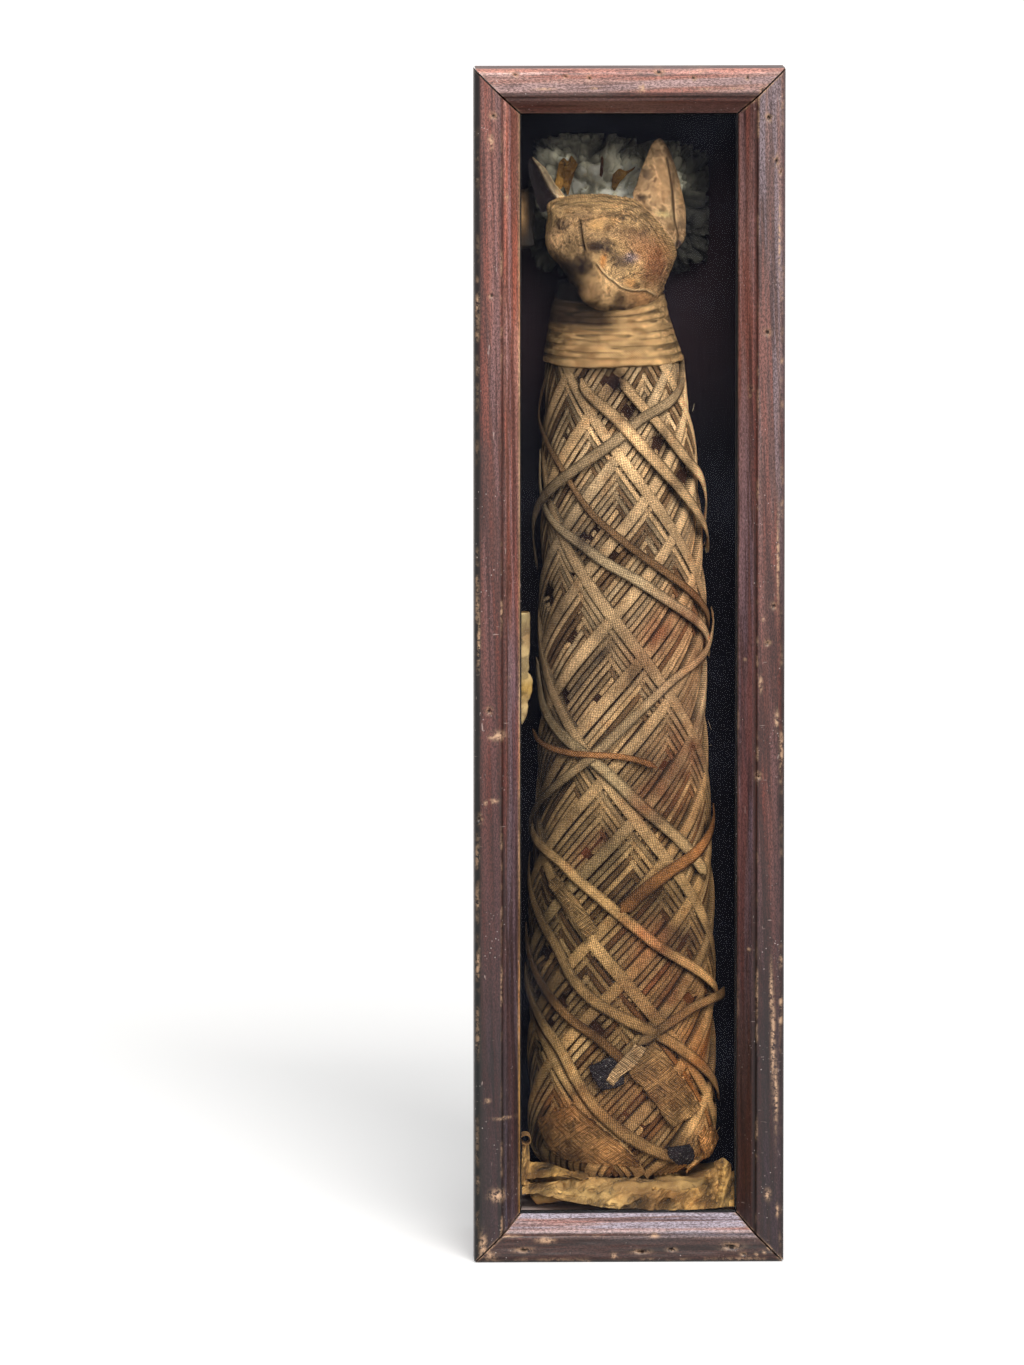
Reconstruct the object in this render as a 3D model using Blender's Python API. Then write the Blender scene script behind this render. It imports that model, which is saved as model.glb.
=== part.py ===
# A linen-wrapped Egyptian cat mummy standing in its glazed, mitre-framed wooden display case.
# Units are metres, +Z is up and the glass faces -Y. The origin is the middle of the underside.

import math

import bmesh
import bpy
from mathutils import Vector

MM = 0.001

# Clearances
GAP = 0.3 * MM                  # between pieces that touch on the real object
MITRE_GAP = 0.7 * MM            # the corner joints of the old frame have opened

# Wrapped mummy
BODY_WIDTH = 93.6 * MM          # over the wrappings, at the widest place
BODY_DEPTH = 82.6 * MM          # over the wrappings, front to back
BODY_HEIGHT = 420 * MM          # foot of the bundle to the top of the neck
HEAD_HEIGHT = 56.5 * MM
EAR_RISE = 28 * MM              # ear tips above the crown
FRONT_LEAN = 4 * MM             # the shoulders lean this far forward of the foot

# Linen strips
STRIP_THICK = 0.5 * MM
FIRST_LIFT = 0.8 * MM           # the bundle's skin to the lowest strips
LAYER_PITCH = 1.1 * MM          # one layer of strips to the next
UNDER_WIDTH = 15 * MM           # broad bands that edge each lozenge
UPPER_WIDTH = 6.5 * MM          # narrow bands over them
STEEP_STARTS = 8                # parallel strips that run down to the left
CROSS_STARTS = 4                # parallel strips that run down to the right
STEEP_SLOPE = 0.8125            # sideways run for each unit of drop
CROSS_SLOPE = 0.705
FACET_RUN = 11 * MM             # how far round the bundle one facet of a strip reaches
TURN_SPACE = 1.5 * MM           # inside the tightest turn of a strip
LOOSE_WIDTH = 6 * MM
NECK_TURNS = 8.5
NECK_BAND_THICK = 1.6 * MM
NECK_BAND_SPACE = 0.6 * MM      # left between turns

# Space round the mummy
SIDE_SPACE = 8.7 * MM           # each side, wrappings to case
GLASS_SPACE = 10.5 * MM         # glass to the front of the wrappings
BACK_SPACE = 1.8 * MM
WAD_HEIGHT = 15.4 * MM          # crumpled newspaper that the bundle stands on
HEADROOM = 18.7 * MM            # ear tips to the top board

# Case
SIDE_WALL = 11.5 * MM
SIDE_INSET = 8 * MM             # frame edge to the outside of the case
TOP_BOARD = 9 * MM
TOP_INSET = 12.5 * MM
FLOOR_BOARD = 21 * MM
BACK_BOARD = 8 * MM
BOARD_EDGE = 0.5 * MM           # easing of the boards' edges

# Frame moulding
FRAME_FACE = 22.4 * MM          # edge to sight opening
FRAME_THICK = 20 * MM
FLAT_FACE = 13.2 * MM           # the flat outer part of the face
ARRIS = 3 * MM                  # rounding of the outer edge
QUIRK_WIDTH = 2.2 * MM          # first step of the sloping inner part
QUIRK_DEPTH = 2.4 * MM
SLOPE_DEPTH = 12 * MM           # face to the thin inner lip
LIP_THICK = 1.5 * MM
LIP_ROUND = 1.3 * MM            # where the slope starts to turn down to the lip
REBATE = 4 * MM                 # how far the glass runs under the lip

# Glazing
GLASS_THICK = 2 * MM
BEAD_PROUD = 0.8 * MM           # the beads show this much inside the lip
BEAD_DEPTH = 3.6 * MM
BEAD_EDGE = 0.4 * MM

# Fixings
NAIL_SHANK = 1.4 * MM
NAIL_HEAD = 2.6 * MM
NAIL_HEAD_THICK = 0.6 * MM
NAIL_SUNK = 0.8 * MM
NAIL_INTO_SIDE = 9 * MM
NAIL_INSET = 10.8 * MM          # frame edge to the line of nails
NAILS_PER_SIDE = 2
SCREW_SHANK = 2.6 * MM
SCREW_HEAD = 5.6 * MM
SCREW_HEAD_THICK = 1.4 * MM
SCREW_SUNK = 0.5 * MM
SCREW_INTO_SIDE = 12 * MM
SCREWS_PER_SIDE = 3
BORE_SPACE = 0.35 * MM          # round a shank or a head

# Worked out from the sizes above
INNER_WIDTH = BODY_WIDTH + 2 * SIDE_SPACE
INNER_HEIGHT = WAD_HEIGHT + BODY_HEIGHT + HEAD_HEIGHT + EAR_RISE + HEADROOM
FRAME_WIDTH = INNER_WIDTH + 2 * (SIDE_WALL + SIDE_INSET)
FRAME_HEIGHT = FLOOR_BOARD + INNER_HEIGHT + TOP_BOARD + TOP_INSET
GLASS_FRONT = SLOPE_DEPTH + LIP_THICK + GAP
GLASS_BACK = GLASS_FRONT + GLASS_THICK
MUMMY_FRONT = GLASS_BACK + GLASS_SPACE
INNER_BACK = MUMMY_FRONT + BODY_DEPTH + BACK_SPACE
TOTAL_DEPTH = INNER_BACK + GAP + BACK_BOARD
FRONT_Y = -TOTAL_DEPTH / 2
CASE_FRONT = FRONT_Y + FRAME_THICK + GAP
CASE_BACK = FRONT_Y + INNER_BACK
BACK_FACE = FRONT_Y + TOTAL_DEPTH
CASE_HALF = INNER_WIDTH / 2 + SIDE_WALL
CASE_TOP = FRAME_HEIGHT - TOP_INSET
CEILING = CASE_TOP - TOP_BOARD
BODY_FOOT = FLOOR_BOARD + WAD_HEIGHT + GAP
NECK_TOP = BODY_FOOT + BODY_HEIGHT
BODY_Y = FRONT_Y + MUMMY_FRONT + BODY_DEPTH / 2
LATTICE_LIFT = FIRST_LIFT + 3 * LAYER_PITCH + STRIP_THICK
CORE_HALF = BODY_WIDTH / 2 - LATTICE_LIFT
CORE_DEPTH_RATIO = (BODY_DEPTH / 2 - LATTICE_LIFT) / CORE_HALF

# Shares of the bundle's height where it changes, with its half width as a share of the widest
# and how far it leans to the right as a share of the same
OUTLINE = (
    (0.000, 0.74, -0.03),
    (0.010, 0.87, -0.03),
    (0.024, 0.96, -0.03),
    (0.050, 1.00, -0.03),
    (0.200, 1.00, -0.04),
    (0.310, 0.99, -0.04),
    (0.375, 0.96, -0.03),
    (0.440, 0.91, -0.02),
    (0.560, 0.89, -0.03),
    (0.660, 0.88, -0.03),
    (0.780, 0.83, -0.05),
    (0.880, 0.77, -0.09),
    (0.930, 0.72, -0.12),
    (1.000, 0.69, -0.13),
)
LATTICE_FOOT = 0.072
LATTICE_TOP = 0.900
LATTICE_NODE = 0.843            # height share where a steep and a cross strip meet in front
NECK_FOOT = 0.932
NECK_END = 0.994

# Loose strips: layer over the lattice, then the route as degrees round the body from the front
# (right is positive) and shares of the body's height
LOOSE_STRIPS = {
    "loose_strip_shoulder": (
        3, ((-29, 0.922), (-2, 0.885), (21, 0.841), (39, 0.808), (62, 0.770), (84, 0.741))),
    "loose_strip_cross_shoulder": (
        2, ((62, 0.915), (18, 0.885), (-3, 0.860), (-36, 0.824), (-66, 0.790), (-82, 0.762))),
    "loose_strip_right_breast": (
        1, ((2, 0.922), (20, 0.896), (27, 0.884), (52, 0.838), (74, 0.808), (88, 0.780))),
    "loose_strip_left_breast": (
        1, ((-76, 0.920), (-84, 0.885), (-67, 0.853), (-46, 0.821), (-23, 0.776), (-6, 0.751),
            (17, 0.720), (52, 0.679), (80, 0.647))),
    "loose_strip_pale_waist": (
        1, ((-86, 0.841), (-78, 0.796), (-61, 0.767), (-33, 0.741), (-13, 0.719), (11, 0.695),
            (36, 0.666), (66, 0.636), (84, 0.612))),
    "loose_strip_long_cross": (
        2, ((88, 0.640), (71, 0.612), (38, 0.586), (17, 0.558), (-5, 0.521), (-21, 0.494),
            (-41, 0.467), (-66, 0.435), (-83, 0.410))),
    "loose_strip_left_hip": (
        1, ((-80, 0.600), (-68, 0.551), (-52, 0.523), (-26, 0.493), (-6, 0.464), (11, 0.434),
            (40, 0.389))),
    "loose_strip_twisted_end": (
        3, ((-86, 0.515), (-66, 0.503), (-41, 0.496), (-21, 0.495), (-5, 0.494), (18, 0.483))),
    "loose_strip_lower_long": (
        1, ((-84, 0.398), (-46, 0.371), (-29, 0.349), (-14, 0.328), (6, 0.296), (27, 0.265),
            (72, 0.218))),
    "loose_strip_right_frayed": (
        2, ((82, 0.410), (52, 0.379), (28, 0.358), (11, 0.336), (0, 0.315))),
    "loose_strip_foot_long": (
        1, ((-86, 0.350), (-62, 0.304), (-44, 0.269), (-33, 0.236), (-18, 0.209), (1, 0.188),
            (24, 0.165), (42, 0.143), (66, 0.113), (84, 0.091))),
    "loose_strip_foot_left": (
        0, ((-86, 0.275), (-60, 0.228), (-36, 0.190), (-18, 0.168), (-1, 0.140))),
    "loose_strip_foot_lower": (
        1, ((-84, 0.224), (-57, 0.179), (-41, 0.150), (-29, 0.114), (-15, 0.079), (2, 0.050))),
    "loose_strip_foot_right": (
        2, ((88, 0.206), (50, 0.200), (32, 0.186), (20, 0.172))),
}


def material(name, colour, roughness, metallic=0.0, alpha=1.0):
    """One Principled material by name, made once."""
    found = bpy.data.materials.get(name)
    if found:
        return found
    made = bpy.data.materials.new(name)
    made.use_nodes = True
    shader = made.node_tree.nodes["Principled BSDF"]
    shader.inputs["Base Color"].default_value = (*colour, 1.0)
    shader.inputs["Roughness"].default_value = roughness
    shader.inputs["Metallic"].default_value = metallic
    shader.inputs["Alpha"].default_value = alpha
    return made


def frame_wood():
    return material("frame_wood", (0.20, 0.10, 0.075), 0.45)


def case_wood():
    return material("case_wood", (0.11, 0.06, 0.045), 0.65)


def glass():
    return material("glass", (0.95, 0.97, 0.96), 0.03, alpha=0.2)


def linen():
    return material("linen", (0.42, 0.27, 0.13), 0.9)


def dark_linen():
    return material("dark_linen", (0.20, 0.12, 0.065), 0.92)


def pale_linen():
    return material("pale_linen", (0.50, 0.37, 0.22), 0.9)


def old_paper():
    return material("old_paper", (0.58, 0.46, 0.26), 0.85)


def grey_paper():
    return material("grey_paper", (0.26, 0.28, 0.30), 0.9)


def iron():
    return material("iron", (0.16, 0.14, 0.13), 0.5, metallic=1.0)


def brass():
    return material("brass", (0.55, 0.40, 0.18), 0.4, metallic=1.0)


def new_object(name, mesh_builder, finish, smooth_angle=None):
    """Turn a finished bmesh into a scene object with outward faces."""
    bmesh.ops.recalc_face_normals(mesh_builder, faces=mesh_builder.faces)
    mesh = bpy.data.meshes.new(name)
    mesh_builder.to_mesh(mesh)
    mesh_builder.free()
    if smooth_angle is not None:
        mesh.shade_smooth()
        mesh.set_sharp_from_angle(angle=math.radians(smooth_angle))
    obj = bpy.data.objects.new(name, mesh)
    bpy.context.scene.collection.objects.link(obj)
    mesh.materials.append(finish)
    return obj


def loft(builder, rings):
    """Close a skin over equal rings of points, with a flat cap on each end."""
    loops = [[builder.verts.new(point) for point in ring] for ring in rings]
    count = len(loops[0])
    for lower, upper in zip(loops, loops[1:]):
        for i in range(count):
            j = (i + 1) % count
            builder.faces.new((lower[i], lower[j], upper[j], upper[i]))
    builder.faces.new(list(reversed(loops[0])))
    builder.faces.new(loops[-1])


def wind(builder, rings):
    """Close a skin over a wound strip's sections. Each facet folds along its outer diagonal, so
    that it bulges away from the bundle and not into it."""
    loops = [[builder.verts.new(point) for point in ring] for ring in rings]
    count = len(loops[0])
    for near, far in zip(loops, loops[1:]):
        for i in range(count):
            j = (i + 1) % count
            if out_of_axis(near[i], far[j]) > out_of_axis(near[j], far[i]):
                builder.faces.new((near[i], near[j], far[j]))
                builder.faces.new((near[i], far[j], far[i]))
            else:
                builder.faces.new((near[i], near[j], far[i]))
                builder.faces.new((near[j], far[j], far[i]))
    builder.faces.new(list(reversed(loops[0])))
    builder.faces.new(loops[-1])


def out_of_axis(one, other):
    middle = (one.co + other.co) / 2
    return math.hypot(middle.x, middle.y - BODY_Y)


def box(name, low, high, finish, edge=0.0):
    """A board between two corners, with its edges eased."""
    builder = bmesh.new()
    bmesh.ops.create_cube(builder, size=1.0)
    centre = (Vector(low) + Vector(high)) / 2
    size = Vector(high) - Vector(low)
    for vert in builder.verts:
        vert.co = Vector(centre[k] + vert.co[k] * size[k] for k in range(3))
    obj = new_object(name, builder, finish)
    if edge:
        ease = obj.modifiers.new("eased_edges", "BEVEL")
        ease.width = edge
        ease.segments = 1
    return obj


def add_turned(builder, start, into, profile):
    """A closed round piece turned on an axis, from (depth, diameter) pairs."""
    side = into.orthogonal().normalized()
    other = into.cross(side)
    turns = [math.pi / 4 * i for i in range(8)]
    rings = []
    for depth, size in profile:
        middle = start + into * depth
        rings.append([middle + (side * math.cos(a) + other * math.sin(a)) * size / 2 for a in turns])
    loft(builder, rings)


def cut_with(target, cutter):
    cutter.hide_render = True
    cutter.display_type = "WIRE"
    cut = target.modifiers.new(cutter.name, "BOOLEAN")
    cut.operation = "DIFFERENCE"
    cut.solver = "EXACT"
    cut.object = cutter


def smooth_value(rows, column, at):
    """Read one column of a table at a place between its rows, along a smooth curve."""
    places = [row[0] for row in rows]
    values = [row[column] for row in rows]
    at = min(max(at, places[0]), places[-1])
    k = max(i for i in range(len(places) - 1) if places[i] <= at or i == 0)
    slopes = []
    for i in (k, k + 1):
        before = max(i - 1, 0)
        after = min(i + 1, len(places) - 1)
        slopes.append((values[after] - values[before]) / (places[after] - places[before]))
    span = places[k + 1] - places[k]
    t = (at - places[k]) / span
    return ((2 * t**3 - 3 * t**2 + 1) * values[k] + (t**3 - 2 * t**2 + t) * span * slopes[0]
            + (3 * t**2 - 2 * t**3) * values[k + 1] + (t**3 - t**2) * span * slopes[1])


def on_body(degrees, share, lift):
    """A point over the bundle's skin, at an angle from the front and a share of its height."""
    half = CORE_HALF * smooth_value(OUTLINE, 1, share)
    centre = CORE_HALF * smooth_value(OUTLINE, 2, share)
    angle = math.radians(degrees)
    return Vector((
        centre + (half + lift) * math.sin(angle),
        BODY_Y - FRONT_LEAN * share - (half * CORE_DEPTH_RATIO + lift) * math.cos(angle),
        BODY_FOOT + BODY_HEIGHT * share,
    ))


# Mean radius of the wrapped bundle, on which strips are laid out flat before they are wound
MEAN_RADIUS = CORE_HALF * 0.94 * (1 + CORE_DEPTH_RATIO) / 2 + FIRST_LIFT


def flat_to_body(run, rise, lift):
    return on_body(math.degrees(run / MEAN_RADIUS), rise / BODY_HEIGHT, lift)


def strip_rings(route, width, lift, thick):
    """Cross-sections of a flat strip that is wound along a route laid out on the flat bundle."""
    rings = []
    for i, (run, rise) in enumerate(route):
        before = route[max(i - 1, 0)]
        after = route[min(i + 1, len(route) - 1)]
        along = Vector((after[0] - before[0], after[1] - before[1])).normalized()
        aside = Vector((-along.y, along.x)) * width / 2
        one = (run - aside.x, rise - aside.y)
        other = (run + aside.x, rise + aside.y)
        rings.append([
            flat_to_body(*one, lift + thick),
            flat_to_body(*other, lift + thick),
            flat_to_body(*other, lift),
            flat_to_body(*one, lift),
        ])
    return rings


def curve_through(points, step):
    """Evenly spaced points on a smooth curve through a few chosen ones."""
    dense = []
    for i in range(len(points) - 1):
        p0 = Vector(points[max(i - 1, 0)])
        p1 = Vector(points[i])
        p2 = Vector(points[i + 1])
        p3 = Vector(points[min(i + 2, len(points) - 1)])
        for k in range(24):
            t = k / 24
            dense.append(0.5 * (2 * p1 + (p2 - p0) * t + (2 * p0 - 5 * p1 + 4 * p2 - p3) * t**2
                                + (3 * p1 - p0 - 3 * p2 + p3) * t**3))
    dense.append(Vector(points[-1]))
    length = sum((b - a).length for a, b in zip(dense, dense[1:]))
    count = max(2, round(length / step))
    even = [dense[0]]
    walked = 0.0
    for a, b in zip(dense, dense[1:]):
        piece = (b - a).length
        while len(even) < count and walked + piece >= length * len(even) / count:
            even.append(a.lerp(b, (length * len(even) / count - walked) / piece))
        walked += piece
    even.append(dense[-1])
    return even


def least_turn_gap(route, width, points_per_turn):
    """The least gap between one turn of a winding and the next, along the bundle."""
    later = zip(route, route[points_per_turn:])
    return min(abs(b[1] - a[1]) for a, b in later) - width


# Mitred frame

def moulding_profile():
    """The moulding's section as (distance in from the edge, depth from the face)."""
    corner = [(ARRIS * (1 - math.cos(a)), ARRIS * (1 - math.sin(a)))
              for a in (math.pi / 6 * k for k in range(4))]
    slope_start = FLAT_FACE + QUIRK_WIDTH
    return [(0, FRAME_THICK)] + corner + [
        (FLAT_FACE, 0),
        (slope_start, QUIRK_DEPTH),
        (FRAME_FACE - LIP_ROUND, SLOPE_DEPTH - LIP_THICK / 2),
        (FRAME_FACE, SLOPE_DEPTH),
        (FRAME_FACE, SLOPE_DEPTH + LIP_THICK),
        (FRAME_FACE - REBATE, SLOPE_DEPTH + LIP_THICK),
        (FRAME_FACE - REBATE, FRAME_THICK),
    ]


def frame_member(name, place):
    """One mitred length of moulding. place turns (along, inward, depth) into a world point."""
    half_gap = MITRE_GAP / math.sqrt(2)
    builder = bmesh.new()
    rings = []
    for end in (-1, 1):
        ring = []
        for inward, depth in moulding_profile():
            ring.append(place(end, inward, depth, half_gap))
        rings.append(ring)
    loft(builder, rings)
    return new_object(name, builder, frame_wood(), smooth_angle=25)


def build_frame():
    half_width = FRAME_WIDTH / 2

    def rail(at_top):
        def place(end, inward, depth, half_gap):
            x = end * (half_width - inward - half_gap)
            z = FRAME_HEIGHT - inward if at_top else inward
            return Vector((x, FRONT_Y + depth, z))
        return place

    def stile(side):
        def place(end, inward, depth, half_gap):
            low = inward + half_gap
            z = FRAME_HEIGHT - low if end > 0 else low
            return Vector((side * (half_width - inward), FRONT_Y + depth, z))
        return place

    frame_member("frame_top_rail", rail(True))
    frame_member("frame_bottom_rail", rail(False))
    left = frame_member("frame_left_stile", stile(-1))
    right = frame_member("frame_right_stile", stile(1))
    return left, right


# Glass and the beads that hold it

def build_glazing():
    half_x = FRAME_WIDTH / 2 - FRAME_FACE + REBATE - GAP
    low_z = FRAME_FACE - REBATE + GAP
    high_z = FRAME_HEIGHT - low_z
    front = FRONT_Y + GLASS_FRONT
    box("glass_pane", (-half_x, front, low_z), (half_x, front + GLASS_THICK, high_z), glass())
    near = front + GLASS_THICK + GAP
    far = near + BEAD_DEPTH
    wide = REBATE - GAP + BEAD_PROUD
    ease = BEAD_EDGE
    box("glass_bead_top", (-half_x, near, high_z - wide), (half_x, far, high_z), frame_wood(), ease)
    box("glass_bead_bottom", (-half_x, near, low_z), (half_x, far, low_z + wide), frame_wood(), ease)
    for side, name in ((-1, "glass_bead_left"), (1, "glass_bead_right")):
        outer = side * half_x
        inner = side * (half_x - wide)
        low = (min(outer, inner), near, low_z + wide + GAP)
        high = (max(outer, inner), far, high_z - wide - GAP)
        box(name, low, high, frame_wood(), ease)


# Case behind the frame

def build_case():
    inner = INNER_WIDTH / 2
    left = box("case_left_side", (-CASE_HALF, CASE_FRONT, 0), (-inner, CASE_BACK, CASE_TOP),
               case_wood(), BOARD_EDGE)
    right = box("case_right_side", (inner, CASE_FRONT, 0), (CASE_HALF, CASE_BACK, CASE_TOP),
                case_wood(), BOARD_EDGE)
    box("case_top_board", (-inner + GAP, CASE_FRONT, CEILING), (inner - GAP, CASE_BACK, CASE_TOP),
        case_wood(), BOARD_EDGE)
    box("case_floor_board", (-inner + GAP, CASE_FRONT, 0), (inner - GAP, CASE_BACK, FLOOR_BOARD),
        case_wood(), BOARD_EDGE)
    back = box("case_back_board", (-CASE_HALF, CASE_BACK + GAP, 0), (CASE_HALF, BACK_FACE, CASE_TOP),
               case_wood(), BOARD_EDGE)
    return left, right, back


class Fixing:
    """A nail or screw with a flat round head that is sunk below the surface it is driven into."""

    def __init__(self, finish, into, sunk, head, head_thick, shank, length):
        self.finish = finish
        self.into = Vector(into)
        self.sunk = sunk
        self.head = head
        self.head_thick = head_thick
        self.shank = shank
        self.length = length

    def drive(self, name, face):
        builder = bmesh.new()
        add_turned(builder, face + self.into * self.sunk, self.into, (
            (0, self.head),
            (self.head_thick, self.head),
            (self.head_thick, self.shank),
            (self.length, self.shank),
        ))
        new_object(name, builder, self.finish, smooth_angle=40)

    def add_bore(self, builder, face):
        wide = self.head + 2 * BORE_SPACE
        narrow = self.shank + 2 * BORE_SPACE
        seat = self.sunk + self.head_thick + GAP
        add_turned(builder, face, self.into, (
            (-MM, wide),
            (seat, wide),
            (seat, narrow),
            (self.sunk + self.length + MM, narrow),
        ))


def build_frame_nails(stiles, sides):
    """Nails through the stiles into the front edges of the case sides."""
    nail = Fixing(iron(), (0, 1, 0), NAIL_SUNK, NAIL_HEAD, NAIL_HEAD_THICK, NAIL_SHANK,
                  FRAME_THICK - NAIL_SUNK + NAIL_INTO_SIDE)
    for label, side, stile, wall in zip(("left", "right"), (-1, 1), stiles, sides):
        bores = bmesh.new()
        for k in range(NAILS_PER_SIDE):
            height = FRAME_HEIGHT * (k + 0.5) / NAILS_PER_SIDE
            face = Vector((side * (FRAME_WIDTH / 2 - NAIL_INSET), FRONT_Y, height))
            nail.drive(f"frame_nail_{label}_{k + 1}", face)
            nail.add_bore(bores, face)
        cutter = new_object(f"nail_bores_{label}", bores, iron())
        cut_with(stile, cutter)
        cut_with(wall, cutter)


def build_back_screws(back, sides):
    """Screws through the back board into the back edges of the case sides."""
    screw = Fixing(brass(), (0, -1, 0), SCREW_SUNK, SCREW_HEAD, SCREW_HEAD_THICK, SCREW_SHANK,
                   BACK_BOARD - SCREW_SUNK + SCREW_INTO_SIDE)
    bores = bmesh.new()
    for label, side in zip(("left", "right"), (-1, 1)):
        x = side * (INNER_WIDTH / 2 + SIDE_WALL / 2)
        for k in range(SCREWS_PER_SIDE):
            face = Vector((x, BACK_FACE, CASE_TOP * (k + 0.5) / SCREWS_PER_SIDE))
            screw.drive(f"back_screw_{label}_{k + 1}", face)
            screw.add_bore(bores, face)
    cutter = new_object("screw_bores", bores, brass())
    for piece in (back, *sides):
        cut_with(piece, cutter)


# Wrapped bundle

def build_body():
    """The linen-padded bundle, which swells at the hips and narrows to the neck."""
    around = 36
    heights = [0.0, 0.010, 0.024] + [0.05 + 0.88 * k / 15 for k in range(16)] + [0.965, 1.0]
    rings = [[on_body(360 * i / around, share, 0) for i in range(around)] for share in heights]
    builder = bmesh.new()
    loft(builder, rings)
    new_object("body_bundle", builder, dark_linen(), smooth_angle=50)


def rounded_route(corners, radius):
    """A route through straight legs, each corner turned as an arc and each leg cut into facets."""
    route = [Vector(corners[0])]
    for before, corner, after in zip(corners, corners[1:], corners[2:]):
        corner = Vector(corner)
        back = (Vector(before) - corner).normalized()
        on = (Vector(after) - corner).normalized()
        half = back.angle(on) / 2
        reach = radius / math.tan(half)
        centre = corner + (back + on).normalized() * radius / math.sin(half)
        start = corner + back * reach - centre
        sweep = start.angle_signed(corner + on * reach - centre)
        turns = max(2, round(abs(sweep) / math.radians(26)))
        add_leg(route, centre + start)
        for k in range(1, turns + 1):
            angle = -sweep * k / turns
            route.append(centre + Vector((start.x * math.cos(angle) - start.y * math.sin(angle),
                                          start.x * math.sin(angle) + start.y * math.cos(angle))))
    add_leg(route, Vector(corners[-1]))
    return route


def add_leg(route, end):
    """Carry a route on to a point, in facets that reach only a little way round the bundle."""
    start = route[-1]
    count = max(1, math.ceil(abs(end.x - start.x) / FACET_RUN))
    route += [start.lerp(end, k / count) for k in range(1, count + 1)]


def lattice_winding(name, starts, slope, width, layer, finish):
    """One long strip wound up and down the bundle in parallel slanting passes."""
    girth = 2 * math.pi * MEAN_RADIUS
    top = BODY_HEIGHT * LATTICE_TOP
    foot = BODY_HEIGHT * LATTICE_FOOT
    node = BODY_HEIGHT * LATTICE_NODE
    corners = []
    for k in range(starts):
        run = girth * (k / starts)
        ends = [(run + slope * (top - node), top), (run + slope * (foot - node), foot)]
        corners += ends if k % 2 == 0 else list(reversed(ends))
    route = rounded_route(corners, width / 2 + TURN_SPACE)
    builder = bmesh.new()
    wind(builder, strip_rings(route, width, FIRST_LIFT + layer * LAYER_PITCH, STRIP_THICK))
    pass_gap = girth / starts / math.hypot(1, slope) - width
    print(name, "least gap between its passes, mm:", round(pass_gap / MM, 2))
    new_object(name, builder, finish, smooth_angle=40)


def build_lattice():
    """Two crossing windings, broad below and narrow above, which leave stepped lozenges."""
    lattice_winding("steep_under_winding", STEEP_STARTS, STEEP_SLOPE, UNDER_WIDTH, 0, dark_linen())
    lattice_winding("cross_under_winding", CROSS_STARTS, -CROSS_SLOPE, UNDER_WIDTH, 1, dark_linen())
    lattice_winding("steep_upper_winding", STEEP_STARTS, STEEP_SLOPE, UPPER_WIDTH, 2, linen())
    lattice_winding("cross_upper_winding", CROSS_STARTS, -CROSS_SLOPE, UPPER_WIDTH, 3, linen())


def build_loose_strips():
    """Strips that have come away and cross the lozenges, one node each."""
    over_lattice = FIRST_LIFT + 3 * LAYER_PITCH
    for name, (layer, places) in LOOSE_STRIPS.items():
        flat = [(math.radians(degrees) * MEAN_RADIUS, share * BODY_HEIGHT) for degrees, share in places]
        route = curve_through(flat, FACET_RUN)
        builder = bmesh.new()
        lift = over_lattice + layer * LAYER_PITCH
        wind(builder, strip_rings([tuple(point) for point in route], LOOSE_WIDTH, lift, STRIP_THICK))
        new_object(name, builder, pale_linen(), smooth_angle=40)


def build_neck_winding():
    """One band wound round the neck in a close helix."""
    per_turn = 18
    rise = (NECK_END - NECK_FOOT) * BODY_HEIGHT
    pitch = rise / (NECK_TURNS + 1)
    width = pitch - NECK_BAND_SPACE
    count = round(NECK_TURNS * per_turn)
    route = []
    for i in range(count + 1):
        turn = i / per_turn
        height = NECK_FOOT * BODY_HEIGHT + pitch * (turn + 0.5)
        route.append((2 * math.pi * MEAN_RADIUS * turn, height))
    print("neck winding, least gap to itself, mm:",
          round(least_turn_gap(route, width, per_turn) / MM, 2))
    builder = bmesh.new()
    wind(builder, strip_rings(route, width, FIRST_LIFT, NECK_BAND_THICK))
    new_object("neck_winding", builder, linen(), smooth_angle=40)


# Head

HEAD_HALF_WIDE = 32.5 * MM
HEAD_HALF_DEEP = 33 * MM
HEAD_HALF_HIGH = 35 * MM        # the lower part is pressed flat where it sits on the neck
HEAD_SHIFT = -7 * MM
HEAD_FORWARD = 8 * MM
HEAD_SEAT = NECK_TOP + GAP
CROWN = HEAD_SEAT + HEAD_HEIGHT
HEAD_CENTRE = Vector((HEAD_SHIFT, BODY_Y - HEAD_FORWARD, CROWN - HEAD_HALF_HIGH))

# Lumps and hollows of the modelled face: way out from the middle of the head, how far each
# reaches as a share of the head, and how broad it is. The face looks a little left and down
FACE_FORMS = (
    ((-0.20, -0.95, -0.22), 0.26, 0.34),    # muzzle
    ((-0.22, -0.92, -0.48), 0.08, 0.20),    # chin
    ((-0.17, -0.95, 0.12), 0.07, 0.22),     # nose
    ((-0.66, -0.62, 0.42), -0.07, 0.20),    # left eye hollow
    ((0.30, -0.78, 0.46), -0.07, 0.20),     # right eye hollow
    ((0.62, -0.66, -0.30), 0.08, 0.36),     # right cheek
    ((-0.84, -0.36, -0.30), 0.06, 0.34),    # left cheek
)


def head_point(turn, tilt, grow):
    """A point of the modelled head, grown outward by a clearance."""
    way = Vector((math.cos(tilt) * math.sin(turn), -math.cos(tilt) * math.cos(turn), math.sin(tilt)))
    swell = 1.0
    for middle, height, breadth in FACE_FORMS:
        swell += height * math.exp(-((way - Vector(middle).normalized()).length / breadth) ** 2)
    reach = Vector((way.x * HEAD_HALF_WIDE, way.y * HEAD_HALF_DEEP, way.z * HEAD_HALF_HIGH)) * swell
    point = HEAD_CENTRE + reach + way * grow
    point.z = max(point.z, HEAD_SEAT - grow)
    return point


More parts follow.
